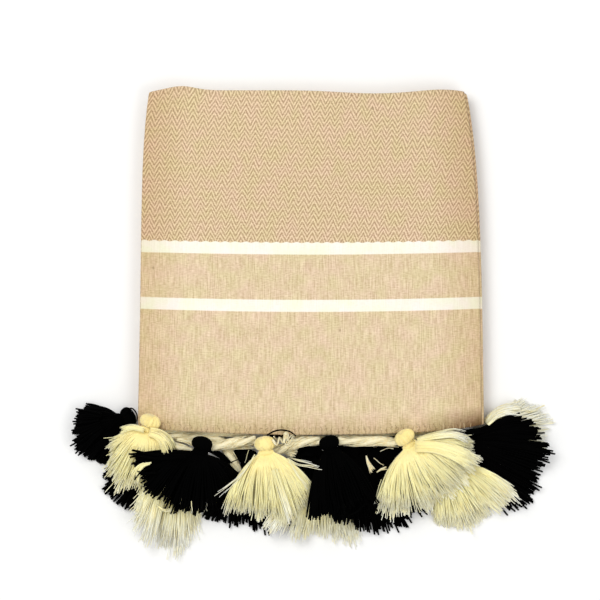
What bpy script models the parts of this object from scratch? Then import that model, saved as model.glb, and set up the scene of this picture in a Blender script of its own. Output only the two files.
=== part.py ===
"""A hammam towel, folded flat, with cords and pompom-head tassels along its front hem.

Units are metres and +Z is up. The origin is on the surface that the towel lies on, under the middle
of the folded cloth. +X runs along the hem, and +Y runs from the hem to the back fold.
"""

import math
from typing import NamedTuple

import bmesh
import bpy
import numpy as np
from mathutils import Vector

MM = 0.001

# The cloth: one woven panel, folded in thirds across its width, then back and forth along its length.
CLOTH_THICKNESS = 1.1 * MM
LAYER_PITCH = 1.7 * MM            # from one layer to the next
LAYERS_ACROSS = 3                 # thirds of the panel's width
FOLDED_HALF_WIDTH = 166.0 * MM    # half the packet's width at the hem
SELVEDGE_INSET = 2.5 * MM         # the free side edges stop short of the folds
RUN_PITCH = LAYERS_ACROSS * LAYER_PITCH
TURN_STEPS_ACROSS = 4
TURN_STEPS_ALONG = 5
STEPS_ALONG_A_RUN = 5

# Where the packet lies in plan.
HEM_Y = -160.5 * MM               # the hem's ends; its middle bows forward
BACK_Y = 166.0 * MM
HIDDEN_HEM_INSET = 46.0 * MM      # the other hem lies under the packet, short of the back fold
BACK_TAPER = 4.5 * MM             # each side draws in evenly towards the back
BACK_ROUNDING = 8.5 * MM          # each side draws in more near the back fold
BACK_CORNER = 2.0 * MM            # the back corners are rounded off by about this much
BACK_LEAN = -3.0 * MM
SIDE_SHIFT = 1.0 * MM
SIDE_BOW = 1.6 * MM               # both sides bow to the right, halfway along
BAND_BOW = 3.6 * MM               # the middle of the cloth bows forward
HEM_BOW = 3.0 * MM                # and the hem's middle more so
HEM_CORNER_LIFT = 4.0 * MM        # the right corner of the hem sits further back
TAPER_POWER = 10                  # the back fold's own shape dies away this fast towards the hem
HEM_DECAY = 0.10                  # and the hem's own shape this fast towards the back, as a share
CORNER_START = 0.72               # the share of the half width from which the right corner sits back

# The packet's height: soft and uneven.
EDGE_SETTLE = 0.13                # thinner by this share at its sides
SURFACE_SWELL = 0.035             # the share by which it swells and dips
SWELL_ACROSS = 5.1                # radians of swell over half the width
SWELL_ALONG = 6.3                 # and over the whole length
SWELL_PHASE_ACROSS = 0.8
SWELL_PHASE_ALONG = -0.6


class Run(NamedTuple):
    """One length of the packet, from the back to the front or back again."""

    front_inset: float            # how far its front end stops short of the hem line
    back_inset: float             # how far its back end stops short of the back fold
    shift: float                  # sideways


RUNS = (
    Run(front_inset=4.5 * MM, back_inset=HIDDEN_HEM_INSET, shift=0.8 * MM),
    Run(front_inset=4.5 * MM, back_inset=3.0 * MM, shift=-0.6 * MM),
    Run(front_inset=3.0 * MM, back_inset=3.0 * MM, shift=0.6 * MM),
    Run(front_inset=3.0 * MM, back_inset=0.5 * MM, shift=-0.7 * MM),
    Run(front_inset=0.0 * MM, back_inset=0.5 * MM, shift=0.0 * MM),
)
PACKET_HEIGHT = (len(RUNS) * LAYERS_ACROSS - 1) * LAYER_PITCH + CLOTH_THICKNESS


class Bump(NamedTuple):
    """A place where the back fold stands out or dips, seen from above."""

    x: float
    reach: float
    half_width: float


BACK_BUMPS = (
    Bump(x=-132 * MM, reach=4.2 * MM, half_width=19 * MM),
    Bump(x=68 * MM, reach=-3.2 * MM, half_width=50 * MM),
    Bump(x=136 * MM, reach=1.2 * MM, half_width=22 * MM),
)
STATIONS_ACROSS = (0.0, 0.06, 0.14, 0.34, 0.6, 0.83, 1.0)   # from the left fold to the right one

# Tassels: a wound ball head, a bound neck and a skirt of locks that fan out and lie on what is below.
HEAD_RADIUS = 9.8 * MM
HEAD_LENGTH = 7.0 * MM            # half the ball's size along the tassel, and its half height
NECK_RADIUS = 7.6 * MM
NECK_HALF_HEIGHT = 5.0 * MM
NECK_LENGTH = 2.6 * MM
NECK_DROP = 3.5 * MM              # the most that the neck's end hangs below the head's middle
NECK_CORNER = 0.45                # how far the neck's open end is rounded at its corners
WAIST = 0.92                      # the binding draws the neck in to this share
WAIST_PLACE = 0.55                # of the way from the neck's end to the head
HEAD_RINGS = (                    # shares of the ball's radii: along the tassel, and out from it
    (0.95, 0.62),
    (0.45, 0.95),
    (-0.25, 0.97),
    (-0.80, 0.60),
)
HEAD_HEIGHT = 19.0                # millimetres, of the heads that hang at the hem
SKIRT_BULGE = 0.72                # the power of the way by which a lock moves sideways
SKIRT_DRAW = 1.12                 # and by which it moves ahead, so that the skirt is bell-shaped
REACH_BLEND = 1.4                 # the power of the share across, from the middle's reach to a side's
SKIRT_ROWS = 2
LOCK_STEPS = 3
LOCK_HALF_THICKNESS = 1.15 * MM
LOCK_WIDTHS = (0.90, 0.86, 0.80)  # of the room each lock has, from its root; its yarn has the tip's
LOCK_MOST_DROP = 1.1              # the steepest a lock falls
LOCK_LOOK_AHEAD = 0.8             # the share of the next stretch that a step already clears
NECK_LOOK_AHEAD = (0.04, 0.09, 0.14)   # the shares of the skirt that the neck already clears
PIECE_GAP = 0.5 * MM
LENGTH_UNEVENNESS = 0.09
ROW_SHORTENING = 0.06             # the upper row is shorter
ANGLE_UNEVENNESS = 0.05           # of the room each lock has
ROW_STAGGER = 0.20                # so that the upper row covers the lower row's gaps


class Yarn(NamedTuple):
    """What a tassel is made of: its name, its colour and how its locks end."""

    name: str
    colour: tuple
    tip_width: float
    tip_thickness: float


CREAM = Yarn("cream", (0.880, 0.800, 0.430), 0.60, 0.45)
BLACK = Yarn("black", (0.004, 0.004, 0.005), 0.74, 0.80)


class Tassel(NamedTuple):
    """One tassel, in the order in which they lie on each other. Lengths are in millimetres."""

    yarn: Yarn
    x: float                      # the middle of the head
    y: float
    height: float                 # of the head's middle, or more where it rests on something
    aim: float                    # degrees, the way the skirt points, from +X towards +Y
    spread: float                 # degrees to each side
    first: float                  # the skirt's reach from the neck on its clockwise side
    reach: float                  # in its middle
    last: float                   # and on its other side
    columns: int                  # locks side by side


FLOOR = 0.0
TASSELS = (
    Tassel(CREAM, 177, -158.5, FLOOR, aim=8, spread=33, first=46, reach=46, last=26, columns=6),
    Tassel(BLACK, -150, -187, FLOOR, aim=231, spread=36, first=35, reach=49, last=42, columns=5),
    Tassel(BLACK, -175.5, -150, FLOOR, aim=205, spread=38, first=30, reach=50, last=38, columns=7),
    Tassel(BLACK, 147, -172.5, FLOOR, aim=345, spread=39, first=77, reach=75, last=46, columns=9),
    Tassel(CREAM, -127, -186, FLOOR, aim=261, spread=34, first=42, reach=85, last=38, columns=8),
    Tassel(BLACK, -60, -188, FLOOR, aim=272, spread=38, first=54, reach=61, last=66, columns=7),
    Tassel(CREAM, 9.6, -201, FLOOR, aim=264, spread=40, first=62, reach=54, last=58, columns=7),
    Tassel(BLACK, 51, -175, FLOOR, aim=292, spread=94, first=31, reach=86, last=32, columns=12),
    Tassel(BLACK, -1.5, -181, FLOOR, aim=268, spread=42, first=34, reach=40, last=36, columns=5),
    Tassel(CREAM, 130, -192, FLOOR, aim=300, spread=42, first=44, reach=55, last=60, columns=7),
    Tassel(CREAM, -152.5, -154.5, HEAD_HEIGHT, aim=250, spread=72, first=11, reach=60, last=22, columns=10),
    Tassel(BLACK, -103, -175.5, HEAD_HEIGHT, aim=257, spread=70, first=58, reach=60, last=35, columns=11),
    Tassel(CREAM, -43.3, -175.5, HEAD_HEIGHT, aim=277, spread=38, first=56, reach=63, last=57, columns=7),
    Tassel(BLACK, 18.3, -174.6, HEAD_HEIGHT, aim=282, spread=25, first=55, reach=62, last=54, columns=5),
    Tassel(CREAM, 90.2, -169.5, HEAD_HEIGHT, aim=304, spread=60, first=60, reach=61, last=55, columns=12),
)

# Fringe cords: two strands twisted loosely, from the hem to the heads. Their routes are set by hand.
STRAND_RADIUS = 2.8 * MM
STRAND_OFFSET = 1.7 * MM          # each strand's middle from the cord's
CORD_TURN_LENGTH = 46.0 * MM      # one full twist
CORD_STEP = 5.5 * MM
CORD_COLOUR = (0.900, 0.800, 0.600)
CORD_ROUTES = (                   # x, y and z in millimetres
    ((-141, -167.5, 14), (-126, -168.6, 12), (-103, -168.4, 11.5), (-92, -169.5, 12), (-84, -174, 12),
     (-79, -182, 12), (-74, -192, 13), (-70, -201, 15)),
    ((-134, -176.5, 21), (-127, -179.5, 21), (-116, -183, 21)),
    ((-92, -178, 21), (-84, -177, 21), (-70, -174, 21), (-54.8, -172, 21)),
    ((-32, -183, 22), (-18, -177, 22), (-4, -173.4, 22), (7.2, -172.8, 22)),
    ((29.8, -173, 21), (48, -173.5, 21), (66, -173, 21), (84, -174.5, 20)),
    ((101, -171.8, 18), (118, -171, 15), (133, -171.6, 13)),
)

CLOTH_COLOUR = (0.760, 0.620, 0.400)
GRID = 1.0 * MM                   # of the height map that the tassels are laid on
LATTICE_STEP = 0.8 * GRID         # of the points that are read from it or stamped on it
MAP_X = (-270 * MM, 270 * MM)
MAP_Y = (-310 * MM, -120 * MM)


def clear_scene():
    """Takes away whatever the scene holds."""
    for thing in list(bpy.data.objects):
        bpy.data.objects.remove(thing)


def new_collection(name):
    """Makes a collection in the scene."""
    collection = bpy.data.collections.new(name)
    bpy.context.scene.collection.children.link(collection)
    return collection


def new_material(name, colour, roughness):
    """Makes a plain Principled material."""
    material = bpy.data.materials.new(name)
    material.use_nodes = True
    shader = material.node_tree.nodes["Principled BSDF"]
    shader.inputs["Base Color"].default_value = (*colour, 1.0)
    shader.inputs["Roughness"].default_value = roughness
    shader.inputs["Metallic"].default_value = 0.0
    return material


def add_object(name, data, material, collection):
    """Puts a mesh or a curve in the collection with its material."""
    thing = bpy.data.objects.new(name, data)
    data.materials.append(material)
    collection.objects.link(thing)
    return thing


def add_bmesh(name, bm, material, collection):
    """Turns a bmesh into a smooth shaded object."""
    bmesh.ops.recalc_face_normals(bm, faces=bm.faces)
    mesh = bpy.data.meshes.new(name)
    bm.to_mesh(mesh)
    bm.free()
    mesh.shade_smooth()
    mesh.set_sharp_from_angle(angle=math.radians(50))
    return add_object(name, mesh, material, collection)


def back_and_forth(ends, first_height, pitch, stations, turn_steps):
    """A path of level runs joined by half turns, one pitch apart.

    ends has each run's start and end. stations are shares of a run. Returns the path's points and the
    unit normals, which point up on the first run.
    """
    points = []
    normals = []
    radius = pitch / 2
    for index, (start, end) in enumerate(ends):
        height = first_height + index * pitch
        way = 1.0 if end > start else -1.0
        up = 1.0 if index % 2 == 0 else -1.0
        for share in stations:
            points.append((start + (end - start) * share, height))
            normals.append((0.0, up))
        if index + 1 == len(ends):
            break
        for step in range(1, turn_steps):
            angle = math.pi * step / turn_steps
            out = way * radius * math.sin(angle)
            climb = radius * (1 - math.cos(angle))
            points.append((end + out, height + climb))
            normals.append((-way * up * math.sin(angle), up * math.cos(angle)))
    return np.array(points), np.array(normals)


def fold_across():
    """The first fold: the panel's width in thirds, left selvedge below, right selvedge on top."""
    turn_room = LAYER_PITCH / 2 + CLOTH_THICKNESS / 2
    side = FOLDED_HALF_WIDTH - turn_room
    free = FOLDED_HALF_WIDTH - SELVEDGE_INSET
    ends = ((-free, side), (side, -side), (-side, free))
    points, _ = back_and_forth(ends, -LAYER_PITCH, LAYER_PITCH, STATIONS_ACROSS, TURN_STEPS_ACROSS)
    return points


def fold_along():
    """The second fold: five runs, from the hidden hem under the back to the front hem on top."""
    turn_room = RUN_PITCH / 2 + LAYER_PITCH + CLOTH_THICKNESS / 2
    stations = np.linspace(0.0, 1.0, STEPS_ALONG_A_RUN + 1)
    ends = []
    for index, run in enumerate(RUNS):
        front = HEM_Y + run.front_inset
        back = BACK_Y - run.back_inset
        if index < len(RUNS) - 1:
            front += turn_room
        if index > 0:
            back -= turn_room
        ends.append((back, front) if index % 2 == 0 else (front, back))
    lowest = LAYER_PITCH + CLOTH_THICKNESS / 2
    return back_and_forth(ends, lowest, RUN_PITCH, stations, TURN_STEPS_ALONG)


def run_shift(heights):
    """How far each point of the second fold lies to one side, blended from run to run."""
    levels = [LAYER_PITCH + CLOTH_THICKNESS / 2 + index * RUN_PITCH for index in range(len(RUNS))]
    return np.interp(heights, levels, [run.shift for run in RUNS])


def lie_in_plan(x, y):
    """Draws the even packet into the outline that it lies in: tapered, bowed and bumpy at the back."""
    along = np.clip((y - HEM_Y) / (BACK_Y - HEM_Y), 0.0, 1.05)
    across = np.clip(x / FOLDED_HALF_WIDTH, -1.05, 1.05)
    draw_in = BACK_TAPER * along + BACK_ROUNDING * along ** 6
    new_x = x - across * draw_in + BACK_LEAN * along + SIDE_SHIFT
    new_x = new_x + SIDE_BOW * np.sin(math.pi * along)
    near_hem = np.exp(-along / HEM_DECAY)
    near_back = along ** TAPER_POWER
    bow = BAND_BOW * (1 - along ** 2) + HEM_BOW * near_hem
    new_y = y - bow * (1 - across ** 2)
    right = np.clip((across - CORNER_START) / (1 - CORNER_START), 0.0, 1.0)
    new_y = new_y + HEM_CORNER_LIFT * right ** 2 * near_hem
    new_y = new_y - BACK_CORNER * across ** 24 * near_back
    for bump in BACK_BUMPS:
        new_y = new_y + bump.reach * np.exp(-((x - bump.x) / bump.half_width) ** 2) * near_back
    return new_x, new_y


def settle(x, y, z):
    """Makes the packet's height soft and uneven, and thinner at its sides. The underside stays flat."""
    across = np.clip(np.abs(x) / FOLDED_HALF_WIDTH, 0.0, 1.0)
    along = (y - HEM_Y) / (BACK_Y - HEM_Y)
    swell = np.sin(SWELL_ACROSS * x / FOLDED_HALF_WIDTH + SWELL_PHASE_ACROSS)
    swell = swell * np.cos(SWELL_ALONG * along + SWELL_PHASE_ALONG)
    factor = 1 + SURFACE_SWELL * swell * (1 - across ** 4) - EDGE_SETTLE * across ** 8
    base = CLOTH_THICKNESS / 2
    return base + (z - base) * factor


def cloth_surface():
    """The folded sheet's middle surface: the first fold's section carried along the second fold."""
    across_points = fold_across()
    along_points, along_normals = fold_along()
    x = across_points[None, :, 0] + run_shift(along_points[:, 1])[:, None]
    lift = across_points[None, :, 1]
    y = along_points[:, None, 0] + along_normals[:, None, 0] * lift
    z = along_points[:, None, 1] + along_normals[:, None, 1] * lift
    x = np.broadcast_to(x, z.shape)
    z = settle(x, y, z)
    x, y = lie_in_plan(x, y)
    return np.stack([x, y, z], axis=-1)


def build_cloth(collection):
    """The whole cloth: a grid laid on the folded surface, then given its thickness."""
    surface = cloth_surface()
    rows = surface.shape[0] - 1
    columns = surface.shape[1] - 1
    bm = bmesh.new()
    bmesh.ops.create_grid(bm, x_segments=columns, y_segments=rows, size=0.5)
    for vertex in bm.verts:
        column = round((vertex.co.x + 0.5) * columns)
        row = round((vertex.co.y + 0.5) * rows)
        vertex.co = Vector(surface[row, column])
    material = new_material("woven_cotton", CLOTH_COLOUR, 0.9)
    cloth = add_bmesh("towel_cloth", bm, material, collection)
    solidify = cloth.modifiers.new("thickness", "SOLIDIFY")
    solidify.thickness = CLOTH_THICKNESS
    solidify.offset = 0.0
    solidify.use_even_offset = True
    return cloth


class Section(NamedTuple):
    """One section of a lock, a neck or a cord."""

    middle: np.ndarray
    side: np.ndarray              # its sideways direction
    half_width: float
    half_thickness: float


class Pile:
    """The height of what lies in front of the packet, on a grid seen from above."""

    def __init__(self):
        self.columns = np.arange(MAP_X[0], MAP_X[1], GRID)
        self.rows = np.arange(MAP_Y[0], MAP_Y[1], GRID)
        self.x, self.y = np.meshgrid(self.columns, self.rows)
        self.height = np.zeros_like(self.x)
        self.stamp_packet()

    def stamp_packet(self):
        """Stamps the folded cloth's front stretch."""
        edge = np.linspace(-1.0, 1.0, 60) * FOLDED_HALF_WIDTH
        edge_x, edge_y = lie_in_plan(edge, np.full_like(edge, HEM_Y))
        hem = np.interp(self.x, edge_x, edge_y)
        inside = (self.x > edge_x[0]) & (self.x < edge_x[-1]) & (self.y > hem)
        self.height[inside] = PACKET_HEIGHT * (1 + SURFACE_SWELL)

    def cells(self, points):
        """The rows and columns of the cells nearest to some points."""
        column = np.rint((points[..., 0] - MAP_X[0]) / GRID).astype(int)
        row = np.rint((points[..., 1] - MAP_Y[0]) / GRID).astype(int)
        return np.clip(row, 1, len(self.rows) - 2), np.clip(column, 1, len(self.columns) - 2)

    def under(self, points):
        """The height under each point."""
        return self.height[self.cells(points)]

    def stamp(self, points, tops):
        """Raises each point's cell, and the eight about it, to the point's top."""
        row, column = self.cells(points)
        for down in (-1, 0, 1):
            for along in (-1, 0, 1):
                np.maximum.at(self.height, (row + down, column + along), tops)

    def stamp_ball(self, centre, radius, half_height):
        """Stamps a ball's upper half."""
        reach = np.hypot(self.x - centre[0], self.y - centre[1]) / (radius + GRID)
        top = centre[2] + half_height * np.sqrt(np.clip(1 - reach ** 2, 0.0, 1.0))
        self.height = np.where(reach < 1, np.maximum(self.height, top), self.height)

    def stamp_stretch(self, start, end):
        """Stamps what lies between two sections."""
        points, half_thickness = lattice(start, end)
        self.stamp(points, points[..., 2] + half_thickness)

    def stamp_cords(self):
        """Stamps every fringe cord."""
        reach = STRAND_OFFSET + STRAND_RADIUS
        for route in CORD_ROUTES:
            points = cord_points(route)
            for start, end in zip(points, points[1:]):
                way = end - start
                side = np.array((-way[1], way[0], 0.0)) / math.hypot(way[0], way[1])
                self.stamp_stretch(Section(start, side, reach, reach), Section(end, side, reach, reach))


def lattice(start, end):
    """Close points over the stretch between two sections, as steps by lanes, and its half thickness."""
    run = float(np.linalg.norm(end.middle - start.middle))
    width = 2 * max(start.half_width, end.half_width)
    steps = math.ceil(run / LATTICE_STEP) + 2
    lanes = math.ceil(width / LATTICE_STEP) + 2
    share = np.linspace(0.0, 1.0, steps)[:, None, None]
    across = np.linspace(-1.0, 1.0, lanes)[None, :, None]
    first = start.middle + start.side * start.half_width * across
    last = end.middle + end.side * end.half_width * across
    half_thickness = start.half_thickness * (1 - share) + end.half_thickness * share
    return first * (1 - share) + last * share, half_thickness[..., 0]


class Fan:
    """The place of one tassel's head, neck and locks, worked out on the pile."""

    def __init__(self, tassel, pile, seed):
        self.tassel = tassel
        self.random = np.random.default_rng(seed)
        aim = math.radians(tassel.aim)
        self.ahead = np.array((math.cos(aim), math.sin(aim), 0.0))
        self.side = np.array((-math.sin(aim), math.cos(aim), 0.0))
        self.head = self.place_head(pile)
        self.place_neck(pile)
        pile.stamp_ball(self.head, HEAD_RADIUS, HEAD_LENGTH)
        self.locks = [self.lay_row(row, pile) for row in range(SKIRT_ROWS)]

    def place_head(self, pile):
        """The head's middle: at its own height, or resting on what is below."""
        turns = np.linspace(0.0, 2 * math.pi, 24, endpoint=False)[:, None]
        ring = self.ahead * HEAD_LENGTH * np.cos(turns) + self.side * HEAD_RADIUS * np.sin(turns)
        centre = np.array((self.tassel.x, self.tassel.y)) * MM
        footprint = np.concatenate([centre + ring[:, :2] * share for share in (0.0, 0.5, 1.0)])
        rest = pile.under(footprint).max() + HEAD_LENGTH + PIECE_GAP
        return np.array((*centre, max(self.tassel.height * MM, rest)))

    def place_neck(self, pile):
        """The middle of the neck's open end, where the locks start."""
        self.neck = self.head + self.ahead * (HEAD_LENGTH + NECK_LENGTH)
        back = Section(self.head, self.side, NECK_RADIUS, 0.0)
        below = pile.under(lattice(back, Section(self.neck, self.side, NECK_RADIUS, 0.0))[0]).max()
        for across in np.linspace(-1.0, 1.0, 4 * self.tassel.columns):
            skirt = np.array([self.on_fan(across, along) for along in NECK_LOOK_AHEAD])
            below = max(below, pile.under(skirt).max())
        rest = below + NECK_HALF_HEIGHT + (PIECE_GAP if below > 0 else 0.0)
        self.neck[2] = max(rest, self.head[2] - NECK_DROP)

    def on_fan(self, across, along):
        """A point of the skirt seen from above, at height zero.

        across runs over the fan from -1 to 1, and along from the neck to the tip. The reach is blended
        from the middle's to a side's. The skirt widens at once below the neck.
        """
        tassel = self.tassel
        angle = math.radians(tassel.spread) * across
        side_reach = tassel.last if across > 0 else tassel.first
        reach = (tassel.reach + (side_reach - tassel.reach) * abs(across) ** REACH_BLEND) * MM
        out = NECK_RADIUS * across + reach * math.sin(angle) * along ** SKIRT_BULGE
        ahead = reach * math.cos(angle) * along ** SKIRT_DRAW
        point = self.neck + self.ahead * ahead + self.side * out
        return np.array((point[0], point[1], 0.0))

    def lay_row(self, row, pile):
        """Lays one row of locks, each a list of sections, and then stamps them."""
        columns = self.tassel.columns
        stagger = ROW_STAGGER * (2 * row - 1)
        locks = []
        for column in range(columns):
            shift = stagger + ANGLE_UNEVENNESS * self.random.uniform(-1, 1)
            across = (2 * (column + 0.5 + shift)) / columns - 1
            cut = 1 - ROW_SHORTENING * row + LENGTH_UNEVENNESS * self.random.uniform(-1, 1)
            locks.append(self.lay_lock(across, cut, row, pile))
        for lock in locks:
            for start, end in zip(lock, lock[1:]):
                pile.stamp_stretch(start, end)
        return locks

    def flat_section(self, across, along, width, half_thickness):
        """One lock's section at height zero."""
        half = width / self.tassel.columns
        left = self.on_fan(across + half, along)
        right = self.on_fan(across - half, along)
        room = float(np.linalg.norm(left - right))
        return Section((left + right) / 2, (left - right) / room, room / 2, half_thickness)

    def lay_lock(self, across, cut, row, pile):
        """Lays one lock over what is below it, from the neck to its tip."""
        yarn = self.tassel.yarn
        widths = (*LOCK_WIDTHS, yarn.tip_width)
        root_half = NECK_HALF_HEIGHT / SKIRT_ROWS
        tip_half = LOCK_HALF_THICKNESS * yarn.tip_thickness
        halves = (root_half, *[LOCK_HALF_THICKNESS] * (LOCK_STEPS - 1), tip_half)
        shares = np.linspace(0.0, cut, LOCK_STEPS + 1)
        sections = [self.flat_section(across, *each) for each in zip(shares, widths, halves)]
        sections[0].middle[2] = self.neck[2] + (2 * row + 1 - SKIRT_ROWS) * root_half
        for step in range(1, LOCK_STEPS + 1):
            start, end = sections[step - 1], sections[step]
            bottom = self.clear(start, end, pile)
            if step < LOCK_STEPS:
                ahead = pile.under(lattice(end, sections[step + 1])[0])
                ahead = ahead[:math.ceil(len(ahead) * LOCK_LOOK_AHEAD)].max()
                bottom = max(bottom, ahead + (PIECE_GAP if ahead > 0 else 0.0))
            end.middle[2] = bottom + end.half_thickness
        return sections

    @staticmethod
    def clear(start, end, pile):
        """How low a stretch's end may come, so that all of it clears what is below and falls gently."""
        below = pile.under(lattice(start, end)[0]).max(axis=1)
        needed = below + np.where(below > 0, PIECE_GAP, 0.0)
        share = np.linspace(0.0, 1.0, len(below))
        first = start.middle[2] - start.half_thickness
        near = share < LOCK_LOOK_AHEAD
        rise = np.where(near, needed, first + (needed - first) / np.maximum(share, LOCK_LOOK_AHEAD))
        run = float(np.hypot(*(end.middle - start.middle)[:2]))
        return max(rise.max(), first - LOCK_MOST_DROP * run)


def corner_of(section, left, low):
    """One corner of a lock's four-sided section."""
    corner = section.middle + section.side * (section.half_width if left else -section.half_width)
    corner[2] += -section.half_thickness if low else section.half_thickness
    return Vector(corner)


def build_tassel(name, fan, material, collection):
    """One tassel: the locks grow out of the cells of the neck's end, and the ball closes the other."""
    columns = fan.tassel.columns
    bm = bmesh.new()
    bmesh.ops.create_grid(bm, x_segments=columns, y_segments=SKIRT_ROWS, size=1.0)
    cells = list(bm.faces)
    rim = [edge for edge in bm.edges if edge.is_boundary]
    shares = {vertex: (vertex.co.x, vertex.co.y) for vertex in bm.verts}
    grow_head(bm, rim, shares, fan)
    grow_locks(bm, cells, shares, fan)
    place_neck_end(shares, fan)
    return add_bmesh(name, bm, material, collection)


def place_neck_end(shares, fan):
    """Puts the grid of cells on the neck's end, one column to each lock, rounded at its corners."""
    for vertex, (across, up) in shares.items():
        rounded = up * math.sqrt(1 - NECK_CORNER * across ** 4)
        place = fan.neck + fan.side * NECK_RADIUS * across
        place[2] += rounded * NECK_HALF_HEIGHT
        vertex.co = Vector(place)


def grow_head(bm, rim, shares, fan):
    """Carries the neck's rim back over the binding and round the ball, and closes it with a pole."""
    axis = fan.head - fan.neck
    axis = axis / float(np.linalg.norm(axis))
    up = np.cross(fan.side, axis)
    up = up * (1.0 if up[2] > 0 else -1.0)
    waist = fan.neck + axis * NECK_LENGTH * WAIST_PLACE
    rings = [(waist, NECK_RADIUS * WAIST, NECK_HALF_HEIGHT * WAIST)]
    for along, out in HEAD_RINGS:
        rings.append((fan.head - axis * HEAD_LENGTH * along, HEAD_RADIUS * out, HEAD_LENGTH * out))
    edges = rim
    angles = {vertex: math.atan2(share[1], share[0]) for vertex, share in shares.items()}
    for centre, half_width, half_height in rings:
        grown = bmesh.ops.extrude_edge_only(bm, edges=edges)["geom"]
        edges = [item for item in grown if isinstance(item, bmesh.types.BMEdge)]
        vertices = [item for item in grown if isinstance(item, bmesh.types.BMVert)]
        angles = carry_angles(vertices, angles)
        for vertex in vertices:
            angle = angles[vertex]
            place = centre + fan.side * half_width * math.cos(angle) + up * half_height * math.sin(angle)
            vertex.co = Vector(place)
    cap = bmesh.ops.contextual_create(bm, geom=edges)["faces"]
    pole = bmesh.ops.poke(bm, faces=cap)["verts"][0]
    pole.co = Vector(fan.head + axis * HEAD_LENGTH)


def carry_angles(vertices, angles):
    """Gives each new rim vertex the angle of the old one that it grew from."""
    carried = {}
    new = set(vertices)
    for vertex in vertices:
        for edge in vertex.link_edges:
            other = edge.other_vert(vertex)
            if other not in new and other in angles:
                carried[vertex] = angles[other]
    return carried


def grow_locks(bm, cells, shares, fan):
    """Grows a lock out of each cell, one section at a time."""
    columns = fan.tassel.columns
    for cell in cells:
        middle = cell.calc_center_median()
        column = int((middle.x + 1) / 2 * columns)
        row = int((middle.y + 1) / 2 * SKIRT_ROWS)
        lock = fan.locks[row][column]
        corners = {(shares[vertex][0] > middle.x, shares[vertex][1] < middle.y): vertex
                   for vertex in cell.verts}
        face = cell
        for section in lock[1:]:
            face, corners = grow_section(bm, face, corners, section)


def grow_section(bm, face, corners, section):
    """Extrudes one face to the next section, keeping track of which corner is which."""
    old = {vertex: key for key, vertex in corners.items()}
    order = [old[vertex] for vertex in face.verts]
    grown = bmesh.ops.extrude_discrete_faces(bm, faces=[face])["faces"][0]
    new_corners = dict(zip(order, grown.verts))
    for (left, low), vertex in new_corners.items():
        vertex.co = corner_of(section, left, low)
    return grown, new_corners


def cord_points(route):
    """A smooth curve through a route's points, in even steps."""
    knots = np.array(route, dtype=float) * MM
    spans = np.linalg.norm(np.diff(knots, axis=0), axis=1)
    marks = np.concatenate([[0.0], np.cumsum(spans)])
    slopes = np.gradient(knots, marks, axis=0)
    steps = max(3, round(marks[-1] / CORD_STEP))
    points = []
    for place in np.linspace(0.0, marks[-1], steps + 1):
        index = min(np.searchsorted(marks, place, side="right") - 1, len(spans) - 1)
        span = spans[index]
        share = (place - marks[index]) / span
        start_weight = (1 + 2 * share) * (1 - share) ** 2
        end_weight = share ** 2 * (3 - 2 * share)
        point = knots[index] * start_weight + knots[index + 1] * end_weight
        point = point + slopes[index] * span * share * (1 - share) ** 2
        point = point + slopes[index + 1] * span * share ** 2 * (share - 1)
        points.append(point)
    return points


def strand_pair_profile(collection):
    """The outline of two strands side by side, as a closed guide curve."""
    touch = math.acos(STRAND_OFFSET / STRAND_RADIUS)
    turns = np.linspace(-math.pi + touch, math.pi - touch, 4)
    right_x = STRAND_OFFSET + STRAND_RADIUS * np.cos(turns)
    right_y = STRAND_RADIUS * np.sin(turns)
    right = list(zip(right_x, right_y))
    left = [(-x, -y) for x, y in right]
    outline = (right + left)[::-1]
    curve = bpy.data.curves.new("strand_pair", "CURVE")
    curve.dimensions = "2D"
    spline = curve.splines.new("POLY")
    spline.points.add(len(outline) - 1)
    for point, (x, y) in zip(spline.points, outline):
        point.co = (x, y, 0.0, 1.0)
    spline.use_cyclic_u = True
    guide = bpy.data.objects.new("strand_pair_guide", curve)
    guide.hide_render = True
    guide.display_type = "WIRE"
    collection.objects.link(guide)
    return guide


def build_cord(name, route, guide, material, collection):
    """One cord: the pair of strands carried along its route, turning as it goes."""
    points = cord_points(route)
    curve = bpy.data.curves.new(name, "CURVE")
    curve.dimensions = "3D"
    curve.bevel_mode = "OBJECT"
    curve.bevel_object = guide
    curve.use_fill_caps = True
    curve.twist_mode = "Z_UP"
    spline = curve.splines.new("POLY")
    spline.points.add(len(points) - 1)
    for index, (knot, place) in enumerate(zip(spline.points, points)):
        knot.co = (*place, 1.0)
        knot.tilt = 2 * math.pi * index * CORD_STEP / CORD_TURN_LENGTH
    return add_object(name, curve, material, collection)


def lay_tassels():
    """Lays the tassels one on another: those on the floor, then those that hang over the cords."""
    pile = Pile()
    counts = {CREAM: 0, BLACK: 0}
    laid = []
    cords_laid = False
    for seed, tassel in enumerate(TASSELS):
        if tassel.height > FLOOR and not cords_laid:
            pile.stamp_cords()
            cords_laid = True
        counts[tassel.yarn] += 1
        laid.append((f"tassel_{tassel.yarn.name}_{counts[tassel.yarn]}", Fan(tassel, pile, seed)))
    return laid


def build_fringe(collection, guides):
    """The cords and the tassels, laid one after another."""
    cord_material = new_material("twisted_cotton_cord", CORD_COLOUR, 0.9)
    yarn_materials = {}
    for yarn in (CREAM, BLACK):
        yarn_materials[yarn] = new_material(f"{yarn.name}_tassel_yarn", yarn.colour, 0.9)
    guide = strand_pair_profile(guides)
    for number, route in enumerate(CORD_ROUTES, 1):
        build_cord(f"fringe_cord_{number}", route, guide, cord_material, collection)
    for name, fan in lay_tassels():
        build_tassel(name, fan, yarn_materials[fan.tassel.yarn], collection)


def main():
    """Builds the towel."""
    clear_scene()
    collection = new_collection("hammam_towel")
    guides = new_collection("guides")
    build_cloth(collection)
    build_fringe(collection, guides)


main()
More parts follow.
